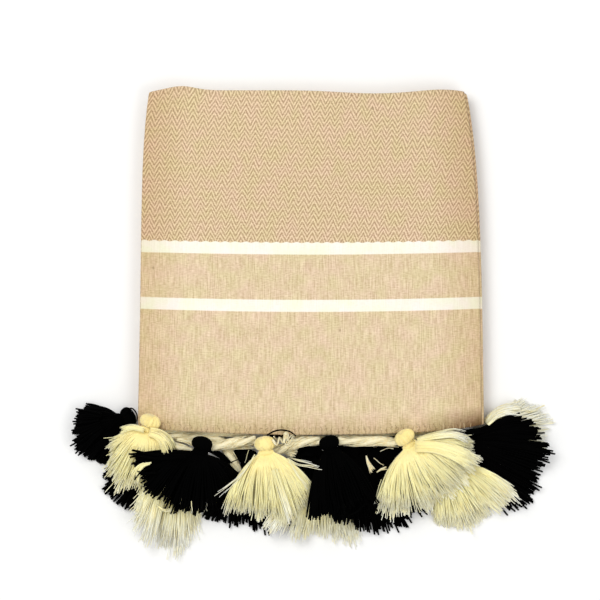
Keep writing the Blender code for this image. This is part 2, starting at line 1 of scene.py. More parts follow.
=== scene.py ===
"""A folded hammam towel with twisted fringe cords and pompom-head tassels, dressed on its frame.

Units are metres and +Z is up. The origin is on the floor, under the middle of the folded cloth. +X runs
along the hem and +Y from the hem to the back fold. Lengths in the tables are in millimetres.
"""

import logging
import math
from dataclasses import dataclass, field
from enum import Enum
from functools import partial

import bpy
import numpy as np
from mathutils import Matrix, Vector


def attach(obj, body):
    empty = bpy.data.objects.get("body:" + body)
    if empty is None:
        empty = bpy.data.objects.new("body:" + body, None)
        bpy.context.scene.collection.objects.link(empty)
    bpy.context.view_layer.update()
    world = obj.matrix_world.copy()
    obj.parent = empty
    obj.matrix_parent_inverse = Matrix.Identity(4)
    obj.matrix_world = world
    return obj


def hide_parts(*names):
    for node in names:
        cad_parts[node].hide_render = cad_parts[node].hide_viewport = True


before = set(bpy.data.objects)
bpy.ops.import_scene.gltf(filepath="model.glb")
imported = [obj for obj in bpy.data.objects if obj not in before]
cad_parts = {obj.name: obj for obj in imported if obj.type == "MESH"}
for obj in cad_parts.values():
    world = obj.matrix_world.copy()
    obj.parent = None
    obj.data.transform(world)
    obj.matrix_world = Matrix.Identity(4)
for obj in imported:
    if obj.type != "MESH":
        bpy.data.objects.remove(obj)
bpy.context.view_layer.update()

log = logging.getLogger("hammam_towel")
MM = 0.001
TURN = 2 * math.pi
UP = np.array((0.0, 0.0, 1.0))
TINY = 1e-12  # keeps a zero length from dividing
Array = np.ndarray
Socket = bpy.types.NodeSocket
Material = bpy.types.Material
Piece = bpy.types.Object
Pair = tuple[float, float]
Point = tuple[float, float, float]


# ---------------------------------------------------------------- colours, nodes and meshes


def linear(hex_colour: str) -> tuple[float, float, float, float]:
    """Turns an sRGB hex colour into the linear one that a shader takes.

    Args:
        hex_colour: six hex digits.
    Returns:
        Linear red, green and blue, and an alpha of one.
    """
    channels = [int(hex_colour[place:place + 2], 16) / 255 for place in (0, 2, 4)]
    light = [c / 12.92 if c <= 0.04045 else ((c + 0.055) / 1.055) ** 2.4 for c in channels]
    return (*light, 1.0)


def add_node(tree: bpy.types.NodeTree, kind: str, inputs: dict | tuple, out: int | str = 0,
             **settings: object) -> Socket:
    """Adds a node, sets it up and links it.

    Args:
        tree: the material's node tree.
        kind: the node's type, less the words ShaderNode.
        inputs: the inputs in their order, or by name or number. Each is a value, a hex colour or the
            socket that feeds it.
        out: the output that is handed back.
        settings: the node's own properties.
    Returns:
        The output socket, or None for a node that has none.
    """
    node = tree.nodes.new("ShaderNode" + kind)
    for name, value in settings.items():
        setattr(node, name, value)
    for name, value in inputs.items() if isinstance(inputs, dict) else enumerate(inputs):
        if isinstance(value, Socket):
            tree.links.new(value, node.inputs[name])
        else:
            node.inputs[name].default_value = linear(value) if isinstance(value, str) else value
    return node.outputs[out] if len(node.outputs) else None


def empty_material(name: str) -> tuple[Material, partial]:
    """Makes a material with no nodes yet.

    Args:
        name: what the real stuff is.
    Returns:
        The material, and add_node for its node tree.
    """
    material = bpy.data.materials.new(name)
    material.use_nodes = True
    material.node_tree.nodes.clear()
    return material, partial(add_node, material.node_tree)


def unit(vectors: Array) -> Array:
    """Vectors over their own length, by the last axis."""
    return vectors / (np.linalg.norm(vectors, axis=-1, keepdims=True) + TINY)


def sides_of(paths: Array, up: Array) -> tuple[Array, Array]:
    """The directions square to some paths: the way ahead crossed with up, and that crossed with the way.

    Args:
        paths: points, with the path along the last axis but one.
        up: the direction that they are measured from.
    Returns:
        The sideways and the upward direction at each point.
    """
    ahead = unit(np.gradient(paths, axis=-2))
    side = unit(np.cross(ahead, up))
    return side, np.cross(side, ahead)


def lengths_along(paths: Array) -> Array:
    """How far each point of some paths is along them, by the straight steps between the points.

    Args:
        paths: points, with the path along the last axis but one.
    Returns:
        A length to each point.
    """
    steps = np.linalg.norm(np.diff(paths, axis=-2), axis=-1)
    return np.concatenate([np.zeros_like(steps[..., :1]), np.cumsum(steps, axis=-1)], axis=-1)


@dataclass
class Shell:
    """Surfaces gathered as whole arrays before they become one mesh."""

    points: list[Array] = field(default_factory=list)
    faces: list[Array] = field(default_factory=list)
    places: list[Array] = field(default_factory=list)
    count: int = 0

    def add(self, points: Array, faces: list[Array], places: Array) -> None:
        """Adds one surface.

        Args:
            points: its points, one row each.
            faces: arrays of point numbers, of three or four to a face.
            places: each point's place on the surface's own map, one row each.
        """
        self.points.append(points)
        self.places.append(places)
        self.faces.extend(face + self.count for face in faces)
        self.count += len(points)

    def add_rings(self, rings: Array, poles: list[Array], places: Array, pole_places: list[Pair],
                  inside_out: bool = False) -> None:
        """Adds closed rings in a row, with a pole at each end that closes it.

        Args:
            rings: the points, as rings by sides by three.
            poles: the two poles.
            places: the rings' places on the map, as rings by sides by two.
            pole_places: the poles' places.
            inside_out: whether the rings run the other way round, so that each face has to be turned over.
        """
        rows, columns = rings.shape[:2]
        around = np.arange(columns)
        after = (around + 1) % columns
        last = (rows - 1) * columns
        faces = [grid_faces(rows, columns, True),
                 np.stack([np.full(columns, rows * columns), around, after], axis=-1),
                 np.stack([np.full(columns, rows * columns + 1), last + after, last + around], axis=-1)]
        if inside_out:
            faces = [face[:, ::-1] for face in faces]
        self.add(np.concatenate([rings.reshape(-1, 3), poles]), faces,
                 np.concatenate([places.reshape(-1, 2), pole_places]))

    def add_tubes(self, paths: Array, radii: Array, sides: int, up: Array, marks: Array,
                  start: float = 0.0, scale: float = 1.0) -> None:
        """Adds many round strands at once: a ring of points about each point of each path.

        A ring's point is the path's point, plus the radius times the cosine of its angle sideways, plus the
        radius times the sine of it upwards. Both ends are closed with a flat face.

        Args:
            paths: the strands' middles, as strands by points by three.
            radii: their radii, as strands by points.
            sides: the faces round each strand.
            up: the direction that the rings are measured from.
            marks: one number to each strand, which its finish can read.
            start: the length along the yarn at which they begin.
            scale: how fast their finish sees that length grow.
        """
        strands, stations = radii.shape
        side, over = sides_of(paths, up)
        angle = np.arange(sides) * TURN / sides
        ring = side[:, :, None] * np.cos(angle)[:, None] + over[:, :, None] * np.sin(angle)[:, None]
        points = paths[:, :, None] + ring * radii[:, :, None, None]
        first = np.arange(strands)[:, None, None] * stations * sides
        walls = (first + grid_faces(stations, sides, True)[None]).reshape(-1, 4)
        near_end = first[:, 0] + np.arange(sides)
        far_end = first[:, 0] + (stations - 1) * sides + np.arange(sides)[::-1]
        along = start + scale * lengths_along(paths)
        places = np.stack([np.broadcast_to(marks[:, None], along.shape), along], axis=-1)
        places = np.repeat(places[:, :, None], sides, axis=2)
        self.add(points.reshape(-1, 3), [walls, near_end, far_end], places.reshape(-1, 2))

    def piece(self, name: str, material: Material, map_name: str) -> Piece:
        """Turns all of it into one smooth object at the origin.

        Args:
            name: the piece's name.
            material: its finish.
            map_name: the name of the map that the finish reads.
        Returns:
            The new object.
        """
        corners = np.concatenate([face.ravel() for face in self.faces]).astype(np.int32)
        sizes = np.concatenate([np.full(len(face), face.shape[1]) for face in self.faces]).astype(np.int32)
        starts = np.concatenate([[0], np.cumsum(sizes)[:-1]]).astype(np.int32)
        mesh = bpy.data.meshes.new(name)
        mesh.vertices.add(self.count)
        mesh.vertices.foreach_set("co", np.concatenate(self.points).astype(np.float32).ravel())
        mesh.loops.add(len(corners))
        mesh.loops.foreach_set("vertex_index", corners)
        mesh.polygons.add(len(sizes))
        mesh.polygons.foreach_set("loop_start", starts)
        mesh.update(calc_edges=True)
        layer = mesh.uv_layers.new(name=map_name)
        layer.data.foreach_set("uv", np.concatenate(self.places)[corners].astype(np.float32).ravel())
        mesh.validate()
        mesh.shade_smooth()
        mesh.materials.append(material)
        thing = bpy.data.objects.new(name, mesh)
        bpy.context.scene.collection.objects.link(thing)
        return thing


def grid_faces(rows: int, columns: int, closed: bool) -> Array:
    """The four-sided faces of a grid of points.

    Args:
        rows: points down the grid.
        columns: points along each row.
        closed: whether each row meets its own start.
    Returns:
        Point numbers, four to a face.
    """
    down = np.arange(rows - 1)[:, None]
    along = np.arange(columns if closed else columns - 1)[None, :]
    after = (along + 1) % columns
    near = down * columns
    far = near + columns
    return np.stack([near + along, far + along, far + after, near + after], axis=-1).reshape(-1, 4)


def through_knots(knots: Array, steps: int) -> Array:
    """A smooth path through some knots, by cubic pieces with slopes taken from each knot's neighbours.

    Args:
        knots: the points, one row each.
        steps: how many points the path gets.
    Returns:
        The path's points, evenly spaced from knot to knot.
    """
    marks = lengths_along(knots)
    slopes = np.gradient(knots, marks, axis=0)
    place = np.linspace(0.0, marks[-1], steps)
    index = np.minimum(np.searchsorted(marks, place, side="right") - 1, len(knots) - 2)
    span = (marks[1:] - marks[:-1])[index][:, None]
    share = (place - marks[index])[:, None] / span
    path = knots[index] * (1 + 2 * share) * (1 - share) ** 2
    path = path + knots[index + 1] * share ** 2 * (3 - 2 * share)
    path = path + slopes[index] * span * share * (1 - share) ** 2
    return path + slopes[index + 1] * span * share ** 2 * (share - 1)


# ---------------------------------------------------------------- finishes


class Body(Enum):
    """The frame's bodies."""

    ROOT = "root"


class Slot(Enum):
    """The record's material slots."""

    CLOTH = "cloth"
    CORD = "cord"
    CREAM = "cream_yarn"
    BLACK = "black_yarn"


WEAVE_MAP = "cloth_lay"
YARN_MAP = "yarn_lay"
COLOUR = {"out": 2, "data_type": "RGBA"}  # makes a Mix node mix colours


@dataclass(frozen=True)
class WovenCotton:
    """Handloomed cotton: herringbone twill over the body, plain weave and two bleached bands by each hem.

    Cotton is matt and slightly hairy, so it is rough with a weak sheen. All lengths are in millimetres on
    the cloth itself, measured from the hem. A noise's scale is its patches to the millimetre.
    """

    panel_width: float
    panel_length: float
    herring: tuple[str, str] = ("AC9070", "F5DFBB")  # each pair: the deepest and the lightest thread
    plain: tuple[str, str] = ("C6B08D", "F0DDBE")
    bleached: tuple[str, str] = ("F4F1E4", "FCFBF2")
    clouds: tuple[str, str] = ("FFF8FA", "F9FBED")  # warm and greenish, as undyed cotton is
    slub: str = "8A7355"
    # painted shade in the furrows that the hem stitches draw in
    shaded_furrow: str = "6B4A26"
    # painted shade: towards the folds, along the hem and most at the hem's corner
    painted_fold_shade: str = "F0E9DF"
    painted_hem_shade: str = "E9E4D5"
    painted_corner_shade: str = "80684A"
    zigzag_width: float = 5.15  # one arm of the herringbone, across the cloth
    zigzag_height: float = 9.1
    rib_pitch: float = 5.55  # along the warp
    thread_drift: Pair = (3.0, 7.0)  # how far the pattern wanders, across and along
    drift_scale: float = 0.035
    rib_wear: float = 1.2  # how strongly uneven thread breaks the ribs
    grain_lean: Pair = (-0.03, 0.19)  # how far the grain leans from the fold, left and right
    lean_from: Pair = (170.0, 330.0)  # the stretch over which it leans
    lean_over: Pair = (-70.0, 90.0)  # and its lengths from the line that doesn't move
    thread_scale: float = 0.7
    streak_scale: float = 0.85
    streak_draw: float = 0.07  # how much a streak is drawn out along the warp
    grain_draw: float = 0.3  # and the weave's grain along the weft
    bands: tuple[Pair, ...] = ((169.5, 180.2), (114.9, 125.6))  # from and to
    teeth: float = 1.4  # how far the herringbone's points reach into the inner band
    band_edge: float = 0.7
    patch_scale: float = 0.05  # clouds, and the cells that may hold a slub
    hem_wander: Pair = (11.0, 14.0)  # how far the furrows shift, and how far they reach
    stitch_pitch: float = 5.2
    bump_strength: float = 0.75
    bump_height: float = 0.45

    def material(self) -> Material:
        """Builds the cloth's material."""
        return WeaveNodes(self).finished()


class WeaveNodes:
    """The woven cloth's nodes: what its colour and its relief share is made first, and kept."""

    def __init__(self, cotton: WovenCotton) -> None:
        """Reads the cloth's own map in millimetres, and makes the threads.

        Args:
            cotton: the cloth's sizes and colours.
        """
        self.cotton = cotton
        self.material, self.add = empty_material("handloomed_beige_cotton")
        lay = self.add("UVMap", {}, uv_map=WEAVE_MAP)
        self.lay = self.add("VectorMath", {0: lay, "Scale": 1 / MM}, operation="SCALE")
        self.across = self.add("SeparateXYZ", (self.lay,))
        front = self.across.node.outputs[1]
        back = self.add("Math", (cotton.panel_length, front), operation="SUBTRACT")
        self.hem = self.add("Math", (front, back), operation="MINIMUM")
        self.zigzag, self.rib = self.herringbone()
        self.streak = self.warp_streaks()
        self.pinch = self.hem_furrows()

    def drawn_out(self, *share: float) -> Socket:
        """The place on the cloth, with x and y multiplied, so that a pattern is drawn out."""
        return self.add("VectorMath", (self.lay, (*share, 1.0)), operation="MULTIPLY")

    def herringbone(self) -> tuple[Socket, Socket]:
        """Ribs that climb and fall by a zigzag of the place across, and that lean with the grain.

        Returns:
            The zigzag from 0 to 1, and the ribs from 0 to 1.
        """
        add, cotton = self.add, self.cotton
        drift = add("TexNoise", {"Vector": self.lay, "Scale": cotton.drift_scale}, out="Color")
        drift = add("SeparateColor", (drift,))
        width = cotton.panel_width
        lean = add("MapRange", (self.across, width * 2 / 3, width, *cotton.grain_lean))
        rise = add("MapRange", (self.hem, *cotton.lean_from, *cotton.lean_over))
        skew = add("Math", (lean, rise), operation="MULTIPLY")
        shift = add("Math", (drift, cotton.thread_drift[0], self.across), operation="MULTIPLY_ADD")
        shift = add("Math", (shift, skew), operation="SUBTRACT")
        zigzag = add("Math", (shift, cotton.zigzag_width), operation="PINGPONG")
        zigzag = add("Math", (zigzag, cotton.zigzag_width), operation="DIVIDE")
        climb = add("Math", (drift.node.outputs[1], cotton.thread_drift[1], self.hem),
                    operation="MULTIPLY_ADD")
        climb = add("Math", (zigzag, cotton.zigzag_height, climb), operation="MULTIPLY_ADD")
        turn = add("Math", (climb, TURN / cotton.rib_pitch), operation="MULTIPLY")
        wave = add("Math", (turn,), operation="SINE")
        thread = add("TexNoise", {"Vector": self.lay, "Scale": cotton.thread_scale, "Roughness": 0.6})
        uneven = add("MapRange", (thread, 0.25, 0.75, -cotton.rib_wear, cotton.rib_wear))
        ribbed = add("Math", (wave, uneven), operation="ADD")
        return zigzag, add("MapRange", (ribbed, -1.4, 1.4))

    def warp_streaks(self) -> Socket:
        """Fine streaks along the warp, about a millimetre wide, with the weave's grain on them.

        Returns:
            A shade from 0 to 1.
        """
        add, cotton = self.add, self.cotton
        warp, weft = self.drawn_out(1.0, cotton.streak_draw), self.drawn_out(cotton.grain_draw, 1.0)
        streak = add("TexNoise", {"Vector": warp, "Scale": cotton.streak_scale, "Roughness": 0.6})
        grain = add("TexNoise", {"Vector": weft, "Scale": cotton.streak_scale})
        both = add("Math", (grain, 0.7, streak), operation="MULTIPLY_ADD")
        return add("MapRange", (both, 0.60, 1.10))

    def hem_furrows(self) -> Socket:
        """Each overcast stitch draws the hem's edge in, which leaves a thin furrow of its own length, given
        relief and painted shade.

        Returns:
            How strongly the cloth is drawn in, from 0 to 1.
        """
        add, (aside, along) = self.add, self.cotton.hem_wander
        wander = add("TexNoise", {"Vector": self.lay, "Scale": 0.2})
        shift = add("Math", (wander, aside, self.across), operation="MULTIPLY_ADD")
        shaded_furrow = add("Math", (shift, self.cotton.stitch_pitch / 2), operation="PINGPONG")
        shaded_furrow = add("MapRange", (shaded_furrow, 0.15, 0.55, 1.0, 0.0))
        reach = add("Math", (wander, -along, self.hem), operation="MULTIPLY_ADD")
        reach = add("MapRange", (reach, -1.5, 1.5, 1.0, 0.0))
        return add("Math", (shaded_furrow, reach), operation="MULTIPLY")

    def body(self) -> Socket:
        """The herringbone beyond the inner band, and the plain weave up to the hem.

        Returns:
            The colour.
        """
        add, cotton, inner = self.add, self.cotton, self.cotton.bands[0][1]
        twill = add("Mix", {0: self.rib, 6: cotton.herring[0], 7: cotton.herring[1]}, **COLOUR)
        plain = add("Mix", {0: self.streak, 6: cotton.plain[0], 7: cotton.plain[1]}, **COLOUR)
        line = add("Math", (self.zigzag, -cotton.teeth, self.hem), operation="MULTIPLY_ADD")
        beyond = add("MapRange", (line, inner - 1.5, inner - 0.9))
        return add("Mix", {0: beyond, 6: plain, 7: twill}, **COLOUR)

    def banded(self, colour: Socket) -> Socket:
        """Lays the bleached bands over the body, with a toothed edge against the herringbone.

        Args:
            colour: the body's colour.
        Returns:
            The colour with the bands.
        """
        add, cotton = self.add, self.cotton
        white = add("Mix", {0: self.streak, 6: cotton.bleached[0], 7: cotton.bleached[1]}, **COLOUR)
        for (start, end), teeth in zip(cotton.bands, (cotton.teeth, 0.0)):
            line = add("Math", (self.zigzag, -teeth, self.hem), operation="MULTIPLY_ADD")
            end -= teeth / 2
            below = add("MapRange", (line, end, end + cotton.band_edge, 1.0, 0.0))
            above = add("MapRange", (self.hem, start - cotton.band_edge, start))
            inside = add("Math", (below, above), operation="MULTIPLY")
            colour = add("Mix", {0: inside, 6: colour, 7: white}, **COLOUR)
        return colour

    def uneven(self, colour: Socket) -> Socket:
        """Undyed cotton is never even: warm and greenish clouds, and a few dark slubs.

        A slub is the middle of a cell, and only a cell whose own number is high has one.

        Args:
            colour: the colour so far.
        Returns:
            The colour with both.
        """
        add, cotton = self.add, self.cotton
        cloud = add("TexNoise", {"Vector": self.lay, "Scale": cotton.patch_scale, "Detail": 3.0})
        cloud = add("MapRange", (cloud, 0.35, 0.65))
        tint = add("Mix", {0: cloud, 6: cotton.clouds[0], 7: cotton.clouds[1]}, **COLOUR)
        colour = add("Mix", {0: 1.0, 6: colour, 7: tint}, blend_type="MULTIPLY", **COLOUR)
        cell = add("TexVoronoi", {"Vector": self.drawn_out(1.0, 0.55), "Scale": cotton.patch_scale})
        speck = add("MapRange", (cell, 0.03, 0.065, 0.5, 0.0))
        chosen = add("SeparateColor", (cell.node.outputs["Color"],))
        chosen = add("Math", (chosen, 0.55), operation="GREATER_THAN")
        speck = add("Math", (speck, chosen), operation="MULTIPLY")
        return add("Mix", {0: speck, 6: colour, 7: cotton.slub}, **COLOUR)

    def painted_shades(self, colour: Socket) -> Socket:
        """Paints shade on the cloth: softly towards its folds and its hem, and most at the hem's corner.

        Args:
            colour: the colour so far.
        Returns:
            The colour with those shades.
        """
        add, cotton = self.add, self.cotton
        # painted shade where the cloth rounds off at its folds and hem, darkest at the hem's corner
        fold = add("Math", (self.across, cotton.panel_width / 6), operation="PINGPONG")
        fold = add("MapRange", (fold, 0.0, 45.0, 1.0, 0.0))
        edge = add("MapRange", (self.hem, 0.0, 18.0, 1.0, 0.0))
        side = add("Math", (cotton.panel_width, self.across), operation="SUBTRACT")
        side = add("MapRange", (side, 10.0, 60.0, 1.0, 0.0))
        corner = add("MapRange", (self.hem, 0.0, 20.0, 1.0, 0.0))
        corner = add("Math", (side, corner), operation="MULTIPLY")
        shades = (fold, cotton.painted_fold_shade), (edge, cotton.painted_hem_shade), (corner, cotton.painted_corner_shade)
        for amount, tone in shades:
            colour = add("Mix", {0: amount, 6: colour, 7: tone}, blend_type="MULTIPLY", **COLOUR)
        return colour

    def relief(self) -> Socket:
        """Deep ribs in the herringbone, and shallow threads in the plain weave.

        Returns:
            The cloth's height, from 0 to 1.
        """
        add, inner = self.add, self.cotton.bands[0][1]
        beyond = add("MapRange", (self.hem, inner, inner + 1.0))
        faint = add("Math", (self.streak, 0.4), operation="MULTIPLY")
        height = add("Mix", {0: beyond, 2: faint, 3: self.rib}, data_type="FLOAT")
        return add("Math", (self.pinch, -0.8, height), operation="MULTIPLY_ADD")

    def finished(self) -> Material:
        """Joins the colour and the relief in one rough surface.

        Returns:
            The material.
        """
        add, cotton = self.add, self.cotton
        colour = self.painted_shades(self.uneven(self.banded(self.body())))
        # painted shade in the hem's furrows
        shade = add("Math", (self.pinch, 0.45), operation="MULTIPLY")
        colour = add("Mix", {0: shade, 6: colour, 7: cotton.shaded_furrow}, **COLOUR)
        bump = add("Bump", {"Strength": cotton.bump_strength, "Distance": cotton.bump_height * MM,
                            "Height": self.relief()})
        surface = add("BsdfPrincipled", {
            "Base Color": colour, "Roughness": 0.92, "Normal": bump, "Specular IOR Level": 0.2,
            "Sheen Weight": 0.12, "Sheen Roughness": 0.6})
        add("OutputMaterial", {"Surface": surface})
        return self.material


@dataclass(frozen=True)
class SpunYarn:
    """Cotton yarn, spun but not glazed: matt, each strand a little lighter or darker than the next."""

    name: str
    root: str
    tip: str
    shade: str
    fade_length: float  # millimetres from the neck to where the tip's colour is reached
    sheen: float
    specular: float
    bleached: str | None = None  # the colour of ends that lie further than the fade length from the neck
    bleaching: Pair = (1.4, 2.4)  # where that colour starts and is reached, in fade lengths
    flecks: Pair = (900.0, 60.0)  # to each strand's number, and to the metre along it

    def material(self) -> Material:
        """Builds the yarn's material. Its map holds each strand's own number and the length along it.

        Returns:
            The material.
        """
        material, add = empty_material(self.name)
        lay = add("UVMap", {}, uv_map=YARN_MAP)
        along = add("SeparateXYZ", (lay,), out=1)
        fade = add("MapRange", {0: along, 2: self.fade_length * MM})
        colour = add("Mix", {0: fade, 6: self.root, 7: self.tip}, **COLOUR)
        if self.bleached:
            start, end = (share * self.fade_length * MM for share in self.bleaching)
            pale = add("MapRange", (along, start, end))
            colour = add("Mix", {0: pale, 6: colour, 7: self.bleached}, **COLOUR)
        stretched = add("VectorMath", (lay, (*self.flecks, 1.0)), operation="MULTIPLY")
        fleck = add("TexNoise", {"Vector": stretched, "Scale": 1.0})
        fleck = add("MapRange", (fleck, 0.30, 0.55, 0.7, 0.0))
        colour = add("Mix", {0: fleck, 6: colour, 7: self.shade}, **COLOUR)
        surface = add("BsdfPrincipled", {
            "Base Color": colour, "Roughness": 0.85, "Specular IOR Level": self.specular,
            "Sheen Weight": self.sheen, "Sheen Roughness": 0.5})
        add("OutputMaterial", {"Surface": surface})
        return material


@dataclass(frozen=True)
class PliedCord:
    """Soft plied cotton cord: fine fibres that wind round each strand, with painted shade between them."""

    light: str = "FFFBDC"
    # painted shade in the grooves between the fibres
    groove_shade: str = "F9E8B6"
    fibre_pitch: float = 1.1  # millimetres between the fibres that show
    fibres_round: int = 7
    fuzz_scale: float = 700.0  # patches to the metre
    fuzz: float = 3.0  # how much they break the fibres' lines
    fibre_height: float = 0.35 * MM

    def material(self) -> Material:
        """Builds the cord's material. Its map holds the share round the strand and the length along it.

        Returns:
            The material.
        """
        material, add = empty_material("plied_cream_cotton_cord")
        around = add("SeparateXYZ", (add("UVMap", {}, uv_map=YARN_MAP),))
        rate = 1 / MM / self.fibre_pitch / self.fibres_round
        along = add("Math", (around.node.outputs[1], rate), operation="MULTIPLY")
        slant = add("Math", (around, float(self.fibres_round), along), operation="MULTIPLY_ADD")
        turn = add("Math", (slant, TURN), operation="MULTIPLY")
        wave = add("Math", (turn,), operation="SINE")
        rough = add("TexNoise", {"Vector": add("TexCoord", {}, out="Object"), "Scale": self.fuzz_scale})
        fibre = add("Math", (rough, self.fuzz, wave), operation="MULTIPLY_ADD")
        fibre = add("MapRange", (fibre, 0.4, 2.6))
        colour = add("Mix", {0: fibre, 6: self.groove_shade, 7: self.light}, **COLOUR)
        bump = add("Bump", {"Strength": 0.6, "Distance": self.fibre_height, "Height": fibre})
        surface = add("BsdfPrincipled", {
            "Base Color": colour, "Roughness": 0.9, "Normal": bump, "Specular IOR Level": 0.2,
            "Sheen Weight": 0.1, "Sheen Roughness": 0.6})
        add("OutputMaterial", {"Surface": surface})
        return material


@dataclass(frozen=True)
class StudioFloor:
    """Smooth white card, matt, so that it shows only soft shadows."""

    colour: str = "F8F8F7"

    def material(self) -> Material:
        """Builds the floor's material.

        Returns:
            The material.
        """
        material, add = empty_material("white_studio_card")
        surface = add("BsdfPrincipled", {
            "Base Color": linear(self.colour), "Roughness": 0.95, "Specular IOR Level": 0.1})
        add("OutputMaterial", {"Surface": surface})
        return material


# ---------------------------------------------------------------- the cloth


@dataclass(frozen=True)
class Run:
    """One length of the packet, from the back to the front or back again, in millimetres."""

    front_inset: float
    back_inset: float
    shift: float
    stations: int = 14


@dataclass(frozen=True)
class FoldedPanel:
    """The woven panel: folded in thirds across its width, then back and forth along its length."""

    thickness: float = 1.1 * MM
    layer_pitch: float = 1.7 * MM
    run_pitch: float = 5.1 * MM
    half_width: float = 166.0 * MM
    selvedge_inset: float = 2.5 * MM
    hem_y: float = -160.5 * MM
    back_y: float = 166.0 * MM
    back_taper: float = 4.5 * MM
    back_rounding: float = 8.5 * MM
    rounding_power: int = 6
    back_corner: float = 2.0 * MM
    corner_power: int = 24
    back_lean: float = -3.0 * MM
    side_shift: float = 1.0 * MM
    side_bow: float = 1.6 * MM
    band_bow: float = 3.6 * MM
    hem_bow: float = 3.0 * MM
    hem_corner_lift: float = 4.0 * MM
    taper_power: float = 10
    hem_decay: float = 0.10
    corner_start: float = 0.72
    edge_settle: float = 0.13
    settle_power: int = 8
    surface_swell: float = 0.035
    swell_across: Pair = (5.1, 0.8)  # the swell's angle from the middle to a side, and its start
    swell_along: Pair = (6.3, -0.6)  # and from the hem to the back
    third_stations: tuple[int, int, int] = (12, 12, 72)
    turn_stations: int = 8
    crowding: float = 0.6  # how strongly the stations crowd towards a run's ends
    overhang: float = 1.05  # as far as the outline is worked out, where 1 is the packet's edge
    runs: tuple[Run, ...] = (
        Run(front_inset=4.5, back_inset=46.0, shift=0.8),
        Run(front_inset=4.5, back_inset=3.0, shift=-0.6),
        Run(front_inset=3.0, back_inset=3.0, shift=0.6),
        Run(front_inset=3.0, back_inset=0.5, shift=-0.7),
        Run(front_inset=0.0, back_inset=0.5, shift=0.0, stations=90),
    )
    back_bumps: tuple[Point, ...] = (  # x, reach and half width, in millimetres
        (-132, 4.2, 19),
        (68, -3.2, 50),
        (136, 1.2, 22),
    )

    @property
    def height(self) -> float:
        """The packet's height."""
        return (len(self.runs) * len(self.third_stations) - 1) * self.layer_pitch + self.thickness

    def back_and_forth(self, ends: list[Pair], first: float, pitch: float,
                       stations: list[int]) -> tuple[Array, Array]:
        """A path of level runs joined by half turns: each turn's point is on a half circle of the pitch.

        Args:
            ends: each run's start and end.
            first: the first run's height.
            pitch: from one run to the next.
            stations: how many steps each run has.
        Returns:
            The points, and the unit normals that point up on the first run.
        """
        points, normals = [], []
        half = pitch / 2
        for index, ((start, end), steps) in enumerate(zip(ends, stations)):
            height = first + index * pitch
            way = 1.0 if end > start else -1.0
            up = 1.0 if index % 2 == 0 else -1.0
            share = np.linspace(0.0, 1.0, steps + 1)
            share = share * (1 - self.crowding) + self.crowding * (1 - np.cos(math.pi * share)) / 2
            points.append(np.stack([start + (end - start) * share, np.full_like(share, height)], axis=-1))
            normals.append(np.stack([0 * share, 0 * share + up], axis=-1))
            if index + 1 < len(ends):
                angle = math.pi * np.arange(1, self.turn_stations) / self.turn_stations
                out, climb = way * half * np.sin(angle), half * (1 - np.cos(angle))
                points.append(np.stack([end + out, height + climb], axis=-1))
                normals.append(np.stack([-way * up * np.sin(angle), up * np.cos(angle)], axis=-1))
        return np.concatenate(points), np.concatenate(normals)

    def fold_across(self) -> Array:
        """The first fold's section: the left selvedge below, the right selvedge on top.

        Returns:
            Its points, as places across and heights about the middle layer.
        """
        side = self.half_width - self.layer_pitch / 2 - self.thickness / 2
        free = self.half_width - self.selvedge_inset
        ends = [(-free, side), (side, -side), (-side, free)]
        return self.back_and_forth(ends, -self.layer_pitch, self.layer_pitch, list(self.third_stations))[0]

    def fold_along(self) -> tuple[Array, Array]:
        """The second fold's path.

        Returns:
            Its points from the hidden hem to the front hem, and their normals.
        """
        room = self.run_pitch / 2 + self.layer_pitch + self.thickness / 2
        ends = []
        for index, run in enumerate(self.runs):
            front = self.hem_y + run.front_inset * MM + (room if index < len(self.runs) - 1 else 0.0)
            back = self.back_y - run.back_inset * MM - (room if index > 0 else 0.0)
            ends.append((back, front) if index % 2 == 0 else (front, back))
        stations = [run.stations for run in self.runs]
        return self.back_and_forth(ends, self.layer_pitch + self.thickness / 2, self.run_pitch, stations)

    def lie_in_plan(self, x: Array, y: Array) -> tuple[Array, Array]:
        """Draws the even packet into its outline: tapered, bowed, and bumpy at the back.

        Args:
            x: places across the even packet.
            y: places along it.
        Returns:
            Where they lie, seen from above.
        """
        along = np.clip((y - self.hem_y) / (self.back_y - self.hem_y), 0.0, self.overhang)
        across = np.clip(x / self.half_width, -self.overhang, self.overhang)
        near_hem, near_back = np.exp(-along / self.hem_decay), along ** self.taper_power
        drawn_in = self.back_taper * along + self.back_rounding * along ** self.rounding_power
        new_x = x - across * drawn_in + self.back_lean * along
        new_x = new_x + self.side_shift + self.side_bow * np.sin(math.pi * along)
        new_y = y - (self.band_bow * (1 - along ** 2) + self.hem_bow * near_hem) * (1 - across ** 2)
        right = np.clip((across - self.corner_start) / (1 - self.corner_start), 0.0, 1.0)
        new_y = new_y + self.hem_corner_lift * right ** 2 * near_hem
        new_y = new_y - self.back_corner * across ** self.corner_power * near_back
        for middle, reach, half in self.back_bumps:
            new_y = new_y + reach * MM * np.exp(-((x / MM - middle) / half) ** 2) * near_back
        return new_x, new_y

    def lay(self, x: Array, y: Array, z: Array) -> Array:
        """Takes points of the even packet to where they lie.

        The height is made soft by a slow wave across times one along, and is less at the sides.

        Args:
            x: places across the even packet.
            y: places along it.
            z: heights in it.
        Returns:
            The points, with three numbers in the last axis.
        """
        across = np.clip(np.abs(x) / self.half_width, 0.0, 1.0)
        along = (y - self.hem_y) / (self.back_y - self.hem_y)
        wave_across = np.sin(self.swell_across[0] * x / self.half_width + self.swell_across[1])
        swell = wave_across * np.cos(self.swell_along[0] * along + self.swell_along[1])
        factor = 1 + self.surface_swell * swell * (1 - across ** 4)
        factor = factor - self.edge_settle * across ** self.settle_power
        bottom = self.thickness / 2
        return np.stack([*self.lie_in_plan(x, y), bottom + (z - bottom) * factor], axis=-1)

